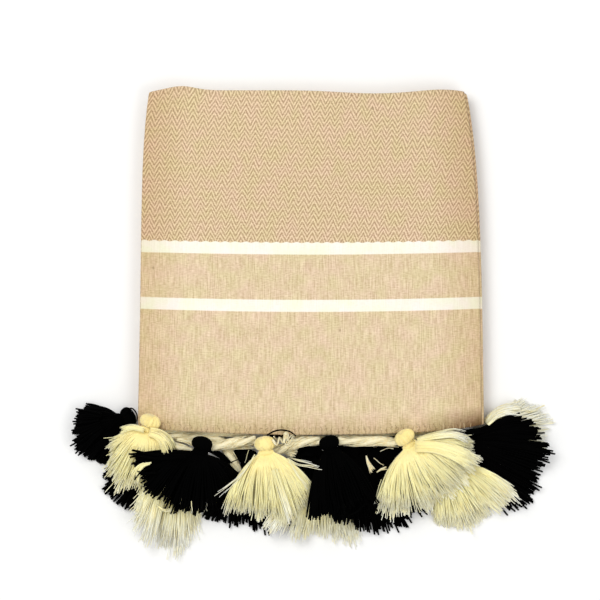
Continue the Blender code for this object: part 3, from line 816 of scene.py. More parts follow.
    def surface(self) -> tuple[Array, Array, Pair]:
        """The sheet's middle surface: the first fold's section carried along the second fold.

        Returns:
            The points by row and column, their places on the flat cloth, and its width and length.
        """
        section = self.fold_across()
        path, normals = self.fold_along()
        levels = self.layer_pitch + self.thickness / 2 + np.arange(len(self.runs)) * self.run_pitch
        shift = np.interp(path[:, 1], levels, [run.shift * MM for run in self.runs])
        x = section[None, :, 0] + shift[:, None]
        y = path[:, None, 0] + normals[:, None, 0] * section[None, :, 1]
        z = path[:, None, 1] + normals[:, None, 1] * section[None, :, 1]
        across, along = lengths_along(section), lengths_along(path)
        places = np.stack(np.broadcast_arrays(across[None, :], (along[-1] - along)[:, None]), axis=-1)
        return self.lay(x, y, z), places, (float(across[-1]), float(along[-1]))

    def build(self) -> tuple[Piece, Pair]:
        """Builds the sheet with its thickness.

        Returns:
            The piece, and the flat cloth's width and length.
        """
        points, places, flat = self.surface()
        shell = Shell()
        shell.add(points.reshape(-1, 3), [grid_faces(*points.shape[:2], False)], places.reshape(-1, 2))
        finish = WovenCotton(flat[0] / MM, flat[1] / MM)
        panel = shell.piece("woven_panel", finish.material(), WEAVE_MAP)
        solid = panel.modifiers.new("cloth_thickness", "SOLIDIFY")
        solid.thickness = self.thickness
        solid.offset = 0.0
        solid.use_even_offset = True
        return panel, flat


@dataclass(frozen=True)
class HemStitches:
    """Overcast stitches: short threads that wrap the front hem from below and run back on top of it."""

    panel: FoldedPanel
    pitch: float = 5.2 * MM
    thread_radius: float = 0.28 * MM
    sides: int = 5
    span: float = 0.93  # the share of the hem that they are sewn along
    unevenness: float = 0.9 * MM
    lean: float = 0.8 * MM
    reach: Pair = (3.0 * MM, 7.5 * MM)
    seed: int = 71
    knots: tuple[Point, ...] = (  # share of the reach, the way out, and height over the top
        (0.25, 0.0, -1.32), (0.0, 0.0, -1.2), (-0.02, -0.42, -0.55), (0.0, 0.0, 0.12), (0.22, 0.0, 0.2),
        (0.6, 0.0, 0.16), (1.0, 0.0, -0.15))
    thread: SpunYarn = SpunYarn("beige_sewing_thread", "DCC79F", "DCC79F", "A78A62", 30.0, 0.1, 0.2)

    def build(self) -> Piece:
        """Builds all the stitches as one piece: each goes through the same knots, by its own lean and reach.

        Returns:
            The piece.
        """
        random = np.random.default_rng(self.seed)
        panel = self.panel
        end = self.span * panel.half_width
        places = np.arange(-end, end, self.pitch)
        places = places + random.uniform(-self.unevenness, self.unevenness, len(places))
        lean = random.uniform(-self.lean, self.lean, len(places))
        reach = random.uniform(*self.reach, len(places))
        share, out, lift = np.array(self.knots).T
        x = places[:, None] + lean[:, None] * share
        y = panel.hem_y + reach[:, None] * share + out * MM
        paths = panel.lay(x, y, np.broadcast_to(panel.height + lift * MM, x.shape))
        shell = Shell()
        radii = np.full(x.shape, self.thread_radius)
        shell.add_tubes(paths, radii, self.sides, np.array((1.0, 0.0, 0.0)), random.uniform(0, 1, len(x)))
        return shell.piece("hem_stitches", self.thread.material(), YARN_MAP)


# ---------------------------------------------------------------- the tassels


@dataclass(frozen=True)
class Yarn:
    """What a tassel is made of, and how its strands lie."""

    name: str
    slot: Slot
    finish: SpunYarn
    tip_width: float
    tip_thickness: float
    strand_radius: float
    layers: float  # strands that lie over each other at the tips
    clumping: float  # how strongly the ends are drawn together
    length_spread: float  # how unevenly the strands are cut
    waviness: float  # how far a strand's end wanders
    tip_taper: float  # the share of its radius that a strand keeps at its end
    head_yarns: int  # yarns that show as ridges on the ball


CREAM = Yarn(
    name="cream", slot=Slot.CREAM,
    finish=SpunYarn("fine_pale_yellow_cotton_yarn", "FFEB9E", "FFF9BE", "F9E898", 40.0, 0.6, 0.2, "FFFFF2"),
    tip_width=0.60, tip_thickness=0.45, strand_radius=0.48 * MM, layers=8.2, clumping=0.50,
    length_spread=0.15, waviness=3.4 * MM, tip_taper=0.7, head_yarns=64)
BLACK = Yarn(
    name="black", slot=Slot.BLACK,
    finish=SpunYarn("thick_black_cotton_yarn", "020202", "020202", "010101", 46.0, 0.0, 0.02),
    tip_width=0.74, tip_thickness=0.80, strand_radius=0.85 * MM, layers=4.3, clumping=0.12,
    length_spread=0.10, waviness=2.2 * MM, tip_taper=0.95, head_yarns=0)


@dataclass(frozen=True)
class TasselPlace:
    """Where one tassel lies. Lengths are in millimetres and angles in degrees from +X towards +Y."""

    yarn: Yarn
    x: float  # the middle of the head
    y: float
    height: float
    aim: float  # the way the skirt points
    spread: float  # to each side
    first: float  # the skirt's reach from the neck on its clockwise side
    reach: float  # in its middle
    last: float  # and on its other side
    columns: int  # locks side by side in the frame's solid
    fullness: float = 1.0  # the share of its strands that it has kept
    # paler ends: partly bleached yarn, partly painted light that lifts tassels lying in more shade
    bleach_and_painted_light: float = 0.0  # how much further along the yarn its colours start


FLOOR_LEVEL = 0.0
HANGING = 19.0
TASSEL_PLACES = tuple(TasselPlace(*row) for row in (  # in the order in which they lie on each other
    (CREAM, 177, -158.5, FLOOR_LEVEL, 8, 33, 46, 46, 26, 6, 0.4, 70),
    (BLACK, -150, -187, FLOOR_LEVEL, 231, 36, 35, 49, 42, 5),
    (BLACK, -175.5, -150, FLOOR_LEVEL, 205, 38, 30, 50, 38, 7),
    (BLACK, 147, -172.5, FLOOR_LEVEL, 345, 39, 77, 75, 46, 9),
    (CREAM, -127, -186, FLOOR_LEVEL, 261, 34, 42, 85, 38, 8, 1.15, 16),
    (BLACK, -60, -188, FLOOR_LEVEL, 272, 38, 54, 61, 66, 7),
    (CREAM, 9.6, -201, FLOOR_LEVEL, 264, 40, 62, 54, 58, 7, 1.0, 26),
    (BLACK, 51, -175, FLOOR_LEVEL, 292, 94, 31, 86, 32, 12),
    (BLACK, -1.5, -181, FLOOR_LEVEL, 268, 42, 34, 40, 36, 5),
    (CREAM, 130, -192, FLOOR_LEVEL, 300, 42, 44, 55, 60, 7, 1.15, 14),
    (CREAM, -152.5, -154.5, HANGING, 250, 72, 11, 60, 22, 10),
    (BLACK, -103, -175.5, HANGING, 257, 70, 58, 60, 35, 11),
    (CREAM, -43.3, -175.5, HANGING, 277, 38, 56, 63, 57, 7),
    (BLACK, 18.3, -174.6, HANGING, 282, 25, 55, 62, 54, 5),
    (CREAM, 90.2, -169.5, HANGING, 304, 60, 60, 61, 55, 12, 1.25, 5),
))


@dataclass(frozen=True)
class TasselSizes:
    """The sizes that all tassels share."""

    head_radius: float = 9.8 * MM
    head_length: float = 7.0 * MM
    neck_radius: float = 7.6 * MM
    neck_half_height: float = 5.0 * MM
    neck_length: float = 2.6 * MM
    neck_drop: float = 3.5 * MM
    waist: float = 0.92
    waist_place: float = 0.55
    bulge: float = 0.72  # the power of the way by which a lock moves sideways
    draw: float = 1.12  # and by which it moves ahead
    blend: float = 1.4  # the power of the share across, from the middle's reach to a side's
    rows: int = 2
    steps: int = 3
    lock_half_thickness: float = 1.15 * MM
    widths: Point = (0.90, 0.86, 0.80)
    most_drop: float = 1.1
    look_ahead: float = 0.8  # the share of the next stretch that a step already clears
    neck_look_ahead: tuple[float, ...] = (0.04, 0.09, 0.14)
    gap: float = 0.5 * MM
    length_unevenness: float = 0.09
    row_shortening: float = 0.06
    angle_unevenness: float = 0.05
    row_stagger: float = 0.20


@dataclass
class Section:
    """One section of a lock, a neck or a cord."""

    middle: Array
    side: Array  # its sideways direction
    half_width: float
    half_thickness: float


class Pile:
    """The height of what lies in front of the packet, on a grid of one millimetre seen from above."""

    GRID = 1.0 * MM
    EDGE_POINTS = 60  # along the hem
    LATTICE_STEP = 0.8 * MM
    X_RANGE = (-270 * MM, 270 * MM)
    Y_RANGE = (-310 * MM, -120 * MM)

    def __init__(self, panel: FoldedPanel) -> None:
        """Starts the grid with the folded cloth's front stretch.

        Args:
            panel: the cloth.
        """
        self.columns = np.arange(*self.X_RANGE, self.GRID)
        self.rows = np.arange(*self.Y_RANGE, self.GRID)
        self.x, self.y = np.meshgrid(self.columns, self.rows)
        edge = np.linspace(-1.0, 1.0, self.EDGE_POINTS) * panel.half_width
        edge_x, edge_y = panel.lie_in_plan(edge, np.full_like(edge, panel.hem_y))
        inside = (self.x > edge_x[0]) & (self.x < edge_x[-1]) & (self.y > np.interp(self.x, edge_x, edge_y))
        self.height = np.where(inside, panel.height * (1 + panel.surface_swell), 0.0)

    def cells(self, points: Array) -> tuple[Array, Array]:
        """The rows and columns of the cells nearest to some points.

        Args:
            points: places whose last axis starts with x and y.
        Returns:
            The cells' rows and columns.
        """
        column = np.rint((points[..., 0] - self.X_RANGE[0]) / self.GRID).astype(int)
        row = np.rint((points[..., 1] - self.Y_RANGE[0]) / self.GRID).astype(int)
        return np.clip(row, 1, len(self.rows) - 2), np.clip(column, 1, len(self.columns) - 2)

    def under(self, points: Array) -> Array:
        """The height under each point.

        Args:
            points: places seen from above.
        Returns:
            A height to each.
        """
        return self.height[self.cells(points)]

    def stamp_ball(self, centre: Array, radius: float, half_height: float) -> None:
        """Raises the pile to a ball's upper half.

        Args:
            centre: the ball's middle.
            radius: its radius seen from above.
            half_height: half its height.
        """
        reach = np.hypot(self.x - centre[0], self.y - centre[1]) / (radius + self.GRID)
        top = centre[2] + half_height * np.sqrt(np.clip(1 - reach ** 2, 0.0, 1.0))
        self.height = np.where(reach < 1, np.maximum(self.height, top), self.height)

    def stamp_stretch(self, start: Section, end: Section) -> None:
        """Raises the pile to what lies between two sections: each point's cell, and the eight about it.

        Args:
            start: the first section.
            end: the last one.
        """
        points, half_thickness = self.lattice(start, end)
        row, column = self.cells(points)
        for down in (-1, 0, 1):
            for along in (-1, 0, 1):
                np.maximum.at(self.height, (row + down, column + along), points[..., 2] + half_thickness)

    @classmethod
    def lattice(cls, start: Section, end: Section) -> tuple[Array, Array]:
        """Close points over the stretch between two sections.

        Args:
            start: the first section.
            end: the last one.
        Returns:
            The points, as steps by lanes by three, and half the thickness at each step.
        """
        run = float(np.linalg.norm(end.middle - start.middle))
        width = 2 * max(start.half_width, end.half_width)
        steps = math.ceil(run / cls.LATTICE_STEP) + 2
        lanes = math.ceil(width / cls.LATTICE_STEP) + 2
        share = np.linspace(0.0, 1.0, steps)[:, None, None]
        across = np.linspace(-1.0, 1.0, lanes)[None, :, None]
        first = start.middle + start.side * start.half_width * across
        last = end.middle + end.side * end.half_width * across
        half_thickness = start.half_thickness * (1 - share) + end.half_thickness * share
        return first * (1 - share) + last * share, half_thickness[..., 0]


class Fan:
    """The place of one tassel's head, neck and locks, worked out on the pile."""

    FOOTPRINT_SIDES = 24  # places looked at round the head's outline

    def __init__(self, place: TasselPlace, sizes: TasselSizes, pile: Pile, seed: int) -> None:
        """Lays the tassel and stamps it on the pile.

        Args:
            place: where it lies.
            sizes: the sizes that all tassels share.
            pile: what it lies on.
            seed: of its own unevenness.
        """
        self.place, self.sizes, self.pile = place, sizes, pile
        self.random = np.random.default_rng(seed)
        aim = math.radians(place.aim)
        self.ahead = np.array((math.cos(aim), math.sin(aim), 0.0))
        self.side = np.array((-math.sin(aim), math.cos(aim), 0.0))
        self.spread = math.radians(place.spread)
        self.head = self.place_head()
        self.place_neck()
        pile.stamp_ball(self.head, sizes.head_radius, sizes.head_length)
        self.middles = np.array([self.lay_row(row) for row in range(sizes.rows)])

    def place_head(self) -> Array:
        """Finds the head's place.

        Returns:
            The head's middle: at its own height, or resting on what is below.
        """
        turns = np.linspace(0.0, TURN, self.FOOTPRINT_SIDES, endpoint=False)[:, None]
        ring = (self.ahead * self.sizes.head_length * np.cos(turns)
                + self.side * self.sizes.head_radius * np.sin(turns))[:, :2]
        centre = np.array((self.place.x, self.place.y)) * MM
        footprint = np.concatenate([centre + ring * share for share in (0.0, 0.5, 1.0)])
        rest = self.pile.under(footprint).max() + self.sizes.head_length + self.sizes.gap
        return np.array((*centre, max(self.place.height * MM, rest)))

    def place_neck(self) -> None:
        """Finds the middle of the neck's open end, where the strands leave it, clear of what is below."""
        sizes = self.sizes
        self.neck = self.head + self.ahead * (sizes.head_length + sizes.neck_length)
        back = Section(self.head, self.side, sizes.neck_radius, 0.0)
        front = Section(self.neck, self.side, sizes.neck_radius, 0.0)
        below = self.pile.under(Pile.lattice(back, front)[0]).max()
        for across in np.linspace(-1.0, 1.0, 4 * self.place.columns):
            skirt = np.array([self.on_fan(across, along) for along in sizes.neck_look_ahead])
            below = max(below, self.pile.under(skirt).max())
        rest = below + sizes.neck_half_height + (sizes.gap if below > 0 else 0.0)
        self.neck[2] = max(rest, self.head[2] - sizes.neck_drop)

    def on_fan(self, across: float, along: float) -> Array:
        """A point of the skirt, seen from above: bell-shaped, so that it widens at once below the neck.

        The sideways part grows with the way to the power of the bulge, the part ahead with the way to the
        power of the draw. The reach is blended from the middle to each side by a power of the share across.

        Args:
            across: the share across the fan, from -1 to 1.
            along: the share of the way from the neck to the tip.
        Returns:
            The point, at height zero.
        """
        sizes, place = self.sizes, self.place
        angle = self.spread * across
        side_reach = place.last if across > 0 else place.first
        reach = (place.reach + (side_reach - place.reach) * abs(across) ** sizes.blend) * MM
        out = sizes.neck_radius * across + reach * math.sin(angle) * along ** sizes.bulge
        ahead = reach * math.cos(angle) * along ** sizes.draw
        point = self.neck + self.ahead * ahead + self.side * out
        return np.array((point[0], point[1], 0.0))

    def lay_row(self, row: int) -> list[Array]:
        """Lays one row of locks and then stamps them.

        Args:
            row: its number, from the lowest.
        Returns:
            Each lock's middle points, from the neck to the tip.
        """
        sizes, columns = self.sizes, self.place.columns
        stagger = sizes.row_stagger * (2 * row - 1)
        locks = []
        for column in range(columns):
            shift = stagger + sizes.angle_unevenness * self.random.uniform(-1, 1)
            across = (2 * (column + 0.5 + shift)) / columns - 1
            cut = 1 - sizes.row_shortening * row + sizes.length_unevenness * self.random.uniform(-1, 1)
            locks.append(self.lay_lock(across, cut, row))
        for lock in locks:
            for start, end in zip(lock, lock[1:]):
                self.pile.stamp_stretch(start, end)
        return [np.array([section.middle for section in lock]) for lock in locks]

    def flat_section(self, across: float, along: float, width: float, half_thickness: float) -> Section:
        """One lock's section at height zero.

        Args:
            across: the lock's share across the fan.
            along: the section's share of the way.
            width: its share of the room that the lock has.
            half_thickness: half its thickness.
        Returns:
            The section.
        """
        half = width / self.place.columns
        left, right = self.on_fan(across + half, along), self.on_fan(across - half, along)
        room = float(np.linalg.norm(left - right))
        return Section((left + right) / 2, (left - right) / room, room / 2, half_thickness)

    def lay_lock(self, across: float, cut: float, row: int) -> list[Section]:
        """Lays one lock over what is below it.

        Args:
            across: its share across the fan.
            cut: the share of the way that it reaches.
            row: its row, from the lowest.
        Returns:
            Its sections, from the neck to the tip.
        """
        sizes, yarn = self.sizes, self.place.yarn
        root_half = sizes.neck_half_height / sizes.rows
        half = sizes.lock_half_thickness
        halves = (root_half, *[half] * (sizes.steps - 1), half * yarn.tip_thickness)
        widths = (*sizes.widths, yarn.tip_width)
        shares = np.linspace(0.0, cut, sizes.steps + 1)
        sections = [self.flat_section(across, *each) for each in zip(shares, widths, halves)]
        sections[0].middle[2] = self.neck[2] + (2 * row + 1 - sizes.rows) * root_half
        for step in range(1, sizes.steps + 1):
            start, end = sections[step - 1], sections[step]
            bottom = self.clear(start, end)
            if step < sizes.steps:
                ahead = self.pile.under(Pile.lattice(end, sections[step + 1])[0])
                ahead = ahead[:math.ceil(len(ahead) * sizes.look_ahead)].max()
                bottom = max(bottom, ahead + (sizes.gap if ahead > 0 else 0.0))
            end.middle[2] = bottom + end.half_thickness
        return sections

    def clear(self, start: Section, end: Section) -> float:
        """How low a stretch's end may come, so that all of it clears what is below and falls gently.

        Args:
            start: the stretch's first section.
            end: its last one.
        Returns:
            The height of the end's underside.
        """
        below = self.pile.under(Pile.lattice(start, end)[0]).max(axis=1)
        needed = below + np.where(below > 0, self.sizes.gap, 0.0)
        share = np.linspace(0.0, 1.0, len(below))
        first = start.middle[2] - start.half_thickness
        near = share < self.sizes.look_ahead
        rise = np.where(near, needed, first + (needed - first) / np.maximum(share, self.sizes.look_ahead))
        run = float(np.hypot(*(end.middle - start.middle)[:2]))
        return max(rise.max(), first - self.sizes.most_drop * run)


def ripples(random: np.random.Generator, count: int, turns: tuple[int, int], share: Array) -> Array:
    """A sine along each strand, with a start and a number of turns of its own.

    Args:
        random: the source of both.
        count: how many strands there are.
        turns: the fewest and the most radians along a strand.
        share: the share of the way at each point, as strands by points.
    Returns:
        A number from -1 to 1 to each point.
    """
    return np.sin(random.uniform(*turns, count)[:, None] * share + random.uniform(0, 6.3, count)[:, None])


class TasselMaker:
    """Makes one tassel: a drawn ball head, a bound neck and a skirt of separate strands."""

    HEAD_SIDES = 72
    HEAD_RINGS = 18
    NECK_RINGS = 7
    BALL_END = 2.42  # the angle from the pole at which the ball meets the neck
    BALL_POWER = 0.85  # of that angle's sine, which gives the ball's radius
    WAIST_DRAW = 0.93
    WAIST_POWER = 0.6
    WAIST_END = 0.95  # the share of the neck at which it is open again
    FOLDS = (5, 17)  # fewest and most of the ball's folds in one wave
    FOLD_WAVES = 5
    FOLD_DEPTH = 0.011
    FOLD_START = 6  # the ring from the pole at which the folds are full
    HEAD_MARKS = 30  # bundles of yarn round the ball, each with a shade of its own
    MARK_STEP = 0.37
    HEAD_FADE = 0.5  # how fast the yarn's colour changes over the head
    HEAD_YARN_STATIONS = 8
    HEAD_YARN_START = (0.1, 0.7)  # the angles from the pole at which the ball's own yarns start
    HEAD_YARN_SLANT = 0.7
    HEAD_YARN_LIFT = (-0.02, 0.03)
    HEAD_YARN_FADE = 0.3
    BINDING_TURNS = 3.5
    BINDING_STEPS = 22  # to a turn
    BINDING_PITCH = 0.72 * MM
    BINDING_FADE = 0.05
    THREAD_RADIUS = 0.42 * MM
    STATIONS = 9
    FEWEST_STRANDS = 220
    FRINGED = 1.03  # how much wider than its locks the skirt is
    CLUMPS = 1.8  # to a lock
    TUCK = 4.0 * MM  # how far the strands start inside the neck
    LONGEST_CUT = 0.55
    CLUMP_CUT = 0.45  # how much of a strand's cut it shares with its clump
    BEND = 0.5  # the usual bend, as a share of the waviness, and the most
    MOST_BEND = 2.2
    RIPPLES = (3, 8)  # radians along a strand, least and most
    RIPPLE = 0.28
    DEPTH = 0.8  # the share of a lock's half thickness that strands lie in

    def __init__(self, fan: Fan, seed: int) -> None:
        """Takes the place of the tassel.

        Args:
            fan: the tassel's head, neck and locks.
            seed: of its strands.
        """
        self.fan, self.sizes, self.yarn = fan, fan.sizes, fan.place.yarn
        self.random = np.random.default_rng(1000 + seed)
        self.shell = Shell()
        self.axis = unit(fan.head - fan.neck)
        up = np.cross(fan.side, self.axis)
        self.up = up * (1.0 if up[2] > 0 else -1.0)

    def build(self, name: str, material: Material) -> Piece:
        """Builds the tassel as one piece.

        Args:
            name: the tassel's name.
            material: its yarn's finish.
        Returns:
            The piece.
        """
        self.add_head()
        if self.yarn.head_yarns:
            self.add_head_yarns()
        self.add_binding()
        self.add_skirt()
        add_loose_strands(self.shell, name, self.fan.pile)
        return self.shell.piece(f"{name}_tassel", material, YARN_MAP)

    def round_axis(self, centre: Array, turn: Array, wide: Array, high: Array) -> Array:
        """Points about the axis: the centre, plus a cosine of the turn sideways and a sine of it upwards.

        Args:
            centre: the middle that each belongs to.
            turn: its angle.
            wide: its distance sideways at an angle of zero.
            high: its distance upwards at a quarter turn.
        Returns:
            The points.
        """
        return (centre + self.fan.side * (np.cos(turn) * wide)[..., None]
                + self.up * (np.sin(turn) * high)[..., None])

    def head_profile(self) -> Array:
        """The head's profile: the place along the axis in metres, and the share of the head's radius.

        On the ball, the place is minus the cosine of the angle from the pole, and the radius is a power of
        its sine. The neck runs straight on to the open end, and is drawn in by a sine between them.

        Returns:
            One row to a ring, from the pole.
        """
        sizes = self.sizes
        polar = np.linspace(0.0, self.BALL_END, self.HEAD_RINGS + 1)[1:]
        ball = np.stack([-np.cos(polar) * sizes.head_length, np.sin(polar) ** self.BALL_POWER], axis=-1)
        share = np.linspace(0.0, 1.0, self.NECK_RINGS + 1)[1:]
        arch = np.sin(math.pi * np.clip(share / self.WAIST_END, 0, 1)) ** self.WAIST_POWER
        dip = 1 - (1 - sizes.waist * self.WAIST_DRAW) * arch
        neck_end = np.array((sizes.head_length + sizes.neck_length, sizes.neck_radius / sizes.head_radius))
        neck = ball[-1] * (1 - share[:, None]) + neck_end * share[:, None]
        neck[:, 1] *= dip
        return np.concatenate([ball, neck])

    def add_head(self) -> None:
        """Adds the ball and the neck: the profile turned about the axis, with the yarn's folds along it.

        The radius swells and dips with a sum of cosines of the angle round, which dies away at the pole.
        """
        sizes, fan, profile = self.sizes, self.fan, self.head_profile()
        turn = np.arange(self.HEAD_SIDES) * TURN / self.HEAD_SIDES
        folds = self.random.integers(*self.FOLDS, self.FOLD_WAVES)
        phases = self.random.uniform(0, TURN, self.FOLD_WAVES)
        swell = np.cos(folds[:, None] * turn + phases[:, None]).sum(axis=0) * self.FOLD_DEPTH
        ring = np.arange(len(profile))[:, None]
        out = profile[:, 1:] * (1 + swell * np.clip(ring / self.FOLD_START, 0, 1)) * sizes.head_radius
        height_share = np.where(ring < self.HEAD_RINGS, sizes.head_length / sizes.head_radius,
                                sizes.neck_half_height / sizes.neck_radius)
        centre = fan.head - self.axis * profile[:, :1]
        points = self.round_axis(centre[:, None], turn, out, out * height_share)
        poles = [fan.head + self.axis * sizes.head_length, fan.neck + self.axis * 0.4 * MM]
        marks = np.round(turn / TURN * self.HEAD_MARKS) * self.MARK_STEP % 1.0
        along = (profile[:, :1] + sizes.head_length) * self.HEAD_FADE
        places = np.stack(np.broadcast_arrays(marks[None], along), axis=-1)
        turned = np.dot(np.cross(fan.side, self.up), self.axis) < 0
        self.shell.add_rings(points, poles, places, [(0.5, 0.0), (0.5, 0.0)], inside_out=turned)

    def add_head_yarns(self) -> None:
        """Adds the yarns that show on the ball. Each runs from the pole to the neck, half sunk in the ball.

        Each follows the ball's profile, at an angle round the axis that grows by the yarn's own slant.
        """
        sizes, fan, count = self.sizes, self.fan, self.yarn.head_yarns
        random = np.random.default_rng(int(fan.place.aim))
        share = np.linspace(0.0, 1.0, self.HEAD_YARN_STATIONS)
        polar = random.uniform(*self.HEAD_YARN_START, count)[:, None] * (1 - share) + self.BALL_END * share
        turn = random.uniform(0, TURN, count)[:, None]
        turn = turn + random.uniform(-self.HEAD_YARN_SLANT, self.HEAD_YARN_SLANT, count)[:, None] * share
        out = np.sin(polar) ** self.BALL_POWER * (1 + random.uniform(*self.HEAD_YARN_LIFT, count)[:, None])
        centre = fan.head + self.axis * (np.cos(polar) * sizes.head_length)[..., None]
        paths = self.round_axis(centre, turn, out * sizes.head_radius, out * sizes.head_length)
        radii = np.full(turn.shape, self.THREAD_RADIUS)
        marks = random.uniform(0, 1, count)
        self.shell.add_tubes(paths, radii, 3, self.up, marks, scale=self.HEAD_YARN_FADE)

    def add_binding(self) -> None:
        """Adds the thread that binds the neck: a helix about the axis, flattened as the neck is."""
        sizes, radius = self.sizes, self.THREAD_RADIUS
        steps = int(self.BINDING_TURNS * self.BINDING_STEPS)
        angle = np.linspace(0.0, self.BINDING_TURNS * TURN, steps)
        slide = (angle / TURN - self.BINDING_TURNS / 2) * self.BINDING_PITCH
        middle = self.fan.neck + self.axis * sizes.neck_length * sizes.waist_place
        path = self.round_axis(middle + self.axis * slide[:, None], angle,
                               sizes.neck_radius * sizes.waist + radius * 0.5,
                               sizes.neck_half_height * sizes.waist + radius * 0.5)
        self.shell.add_tubes(path[None], np.full((1, steps), radius), 6, self.axis, np.array([0.2]),
                             scale=self.BINDING_FADE)

    def add_skirt(self) -> None:
        """Adds the strands. Each follows a cubic through the four stations of the locks about it.

        The place across the fan and the row are blended between the locks beside it. Ends wander by a
        square of the length, gather a little into clumps, and are cut unevenly.
        """
        fan, yarn, random, sizes = self.fan, self.yarn, self.random, self.sizes
        columns = fan.place.columns
        arc = 2 * fan.spread * fan.place.reach * MM
        count = arc / (2 * yarn.strand_radius) * yarn.layers
        count = round(max(self.FEWEST_STRANDS, count) * fan.place.fullness)
        across = (np.arange(count) + random.uniform(0, 1, count)) / count * self.FRINGED
        across = random.permutation(across - (self.FRINGED - 1) / 2) * columns - 0.5
        stations = self.station_points(across, random.uniform(0.0, 1.0, count))
        pull, own = self.clumps(across, columns)
        cut = random.uniform(-1, self.LONGEST_CUT, count) + own * self.CLUMP_CUT
        reach = sizes.steps * (1 + yarn.length_spread * cut)
        share = np.linspace(0.0, 1.0, self.STATIONS)[None] * reach[:, None]
        paths = self.cubic(stations, share)
        tucked = fan.neck + (paths[:, :1] - fan.neck) * 0.7 + self.axis * self.TUCK
        paths = np.concatenate([tucked, paths], axis=1)
        grown = np.clip(np.concatenate([share[:, :1], share], axis=1) / sizes.steps, 0, 1.2)
        sideways = unit(np.cross(UP, stations[:, -1] - stations[:, 0]))
        bend = np.clip(random.standard_t(3, count) * self.BEND, -self.MOST_BEND, self.MOST_BEND)
        ripple = ripples(random, count, self.RIPPLES, grown) * grown * self.RIPPLE
        wander = (bend[:, None] * grown ** 2 + ripple) * yarn.waviness
        paths = paths + sideways[:, None] * (wander + pull[:, None] * grown ** 2)[..., None]
        thick = random.uniform(-1, 1, count)[:, None] * sizes.lock_half_thickness * self.DEPTH
        paths[..., 2] += thick * np.clip(grown * 3, 0, 1)
        radii = yarn.strand_radius * (1 - (1 - yarn.tip_taper) * np.clip(grown, 0, 1) ** 3)
        paths[..., 2] = np.maximum(paths[..., 2], radii)
        # the shift pales the ends, partly as painted light
        self.shell.add_tubes(paths, radii, 4, UP, random.uniform(0, 1, count), start=fan.place.bleach_and_painted_light * MM)

    def station_points(self, across: Array, row: Array) -> Array:
        """Blends the locks' middles for each strand.

        Args:
            across: the strand's place among the columns.
            row: its place between the lower row, 0, and the upper row, 1.
        Returns:
            Four points to each strand.
        """
        left = np.clip(np.floor(across).astype(int), 0, self.fan.place.columns - 2)
        share, blend = (across - left)[:, None, None], row[:, None, None]
        lower, upper = (locks[left] * (1 - share) + locks[left + 1] * share for locks in self.fan.middles)
        return lower * (1 - blend) + upper * blend

    @staticmethod
    def cubic(stations: Array, share: Array) -> Array:
        """The cubic through four stations at 0, 1, 2 and 3, by products of the distances to the others.

        Args:
            stations: four points to each strand.
            share: where along them, as strands by points.
        Returns:
            The points.
        """
        weights = []
        for own in range(4):
            others = [other for other in range(4) if other != own]
            weights.append(np.prod([(share - other) / (own - other) for other in others], axis=0))
        return np.einsum("knp,nkc->npc", np.array(weights), stations)

    def clumps(self, across: Array, columns: int) -> tuple[Array, Array]:
        """Gathers the strands' ends into clumps.

        Args:
            across: each strand's place among the columns.
            columns: how many locks the fan has.
        Returns:
            How far each strand's end is drawn towards its clump's middle, and its clump's own number
            from -1 to 1.
        """
        centres = np.sort(self.random.uniform(-0.5, columns - 0.5, int(columns * self.CLUMPS)))
        nearest = np.abs(across[:, None] - centres[None]).argmin(axis=1)
        width = 2 * self.fan.spread / columns * self.fan.place.reach * MM
        own = self.random.uniform(-1, 1, len(centres))[nearest]
        return (centres[nearest] - across) * width * self.yarn.clumping, own


# ---------------------------------------------------------------- the loose strands


@dataclass(frozen=True)
class LooseStrands:
    """A few strands that have left their place, and lie on the pile along a route of their own."""

    owner: str  # the tassel or cord that they belong to
    count: int
    radius: float  # millimetres
    spread: Pair  # how far they part at the start and the end, to each side, in millimetres
    along: float  # how far along the yarn they start, which sets their colour
    route: tuple[Pair, ...]  # x and y in millimetres
    level: float | None = None  # their height, where they pass under something
    stations: int = 11
    ragged: float = 0.0  # the share of the route over which their starts are strewn

    SOFTENING = 0.12  # the share of its length over which a strand bridges what is below
    SHORTEST = 0.72  # the share of the route that the shortest strand reaches
    TAPER = 0.3  # the share of its radius that a strand loses at its end
    PARTING = (0.7, 2.2)  # least and most of the power by which a strand parts from the others
    RIPPLES = (2, 9)  # radians along a strand, least and most
    RIPPLE = 0.5  # millimetres
    HEAP = 4  # radii that the highest strand lies above the lowest

    def paths(self, pile: Pile, random: np.random.Generator) -> Array:
        """Lays the strands: side by side along the route, each on the highest thing near each point.

        Args:
            pile: what they lie on.
            random: the source of their unevenness.
        Returns:
            The paths, as strands by points by three.
        """
        count, stations = self.count, self.stations
        cut = random.uniform(self.SHORTEST, 1.0, count) if count > 1 else np.ones(1)
        begin = random.uniform(0.0, self.ragged, count)[:, None] if self.ragged else np.zeros((count, 1))
        even = np.linspace(0.0, 1.0, stations)
        share = begin + even * (cut[:, None] - begin)
        middle = through_knots(np.array(self.route, dtype=float) * MM, stations)
        way = unit(np.gradient(middle, axis=0))
        across = np.stack([-way[:, 1], way[:, 0]], axis=-1)
        flat, aside = (np.stack([np.interp(share, even, line[:, axis]) for axis in (0, 1)], axis=-1)
                       for line in (middle, across))
        start, end = self.spread
        grown = share ** random.uniform(*self.PARTING, count)[:, None]
        parting = random.uniform(-1, 1, count)[:, None] * (start + (end - start) * grown)
        parting = parting + ripples(random, count, self.RIPPLES, share) * self.RIPPLE * share
        flat = flat + aside * (parting * MM)[..., None]
        if self.level is None:
            near = math.ceil(self.SOFTENING * stations)
            window = np.clip(np.arange(stations)[:, None] + np.arange(-near, near + 1), 0, stations - 1)
            height = pile.under(flat)[:, window].max(axis=2)[:, window].mean(axis=2)
        else:
            height = np.full(flat.shape[:2], self.level * MM)
        height = height + self.radius * MM * (1 + random.uniform(0, self.HEAP, count)[:, None])
        return np.concatenate([flat, height[..., None]], axis=-1)


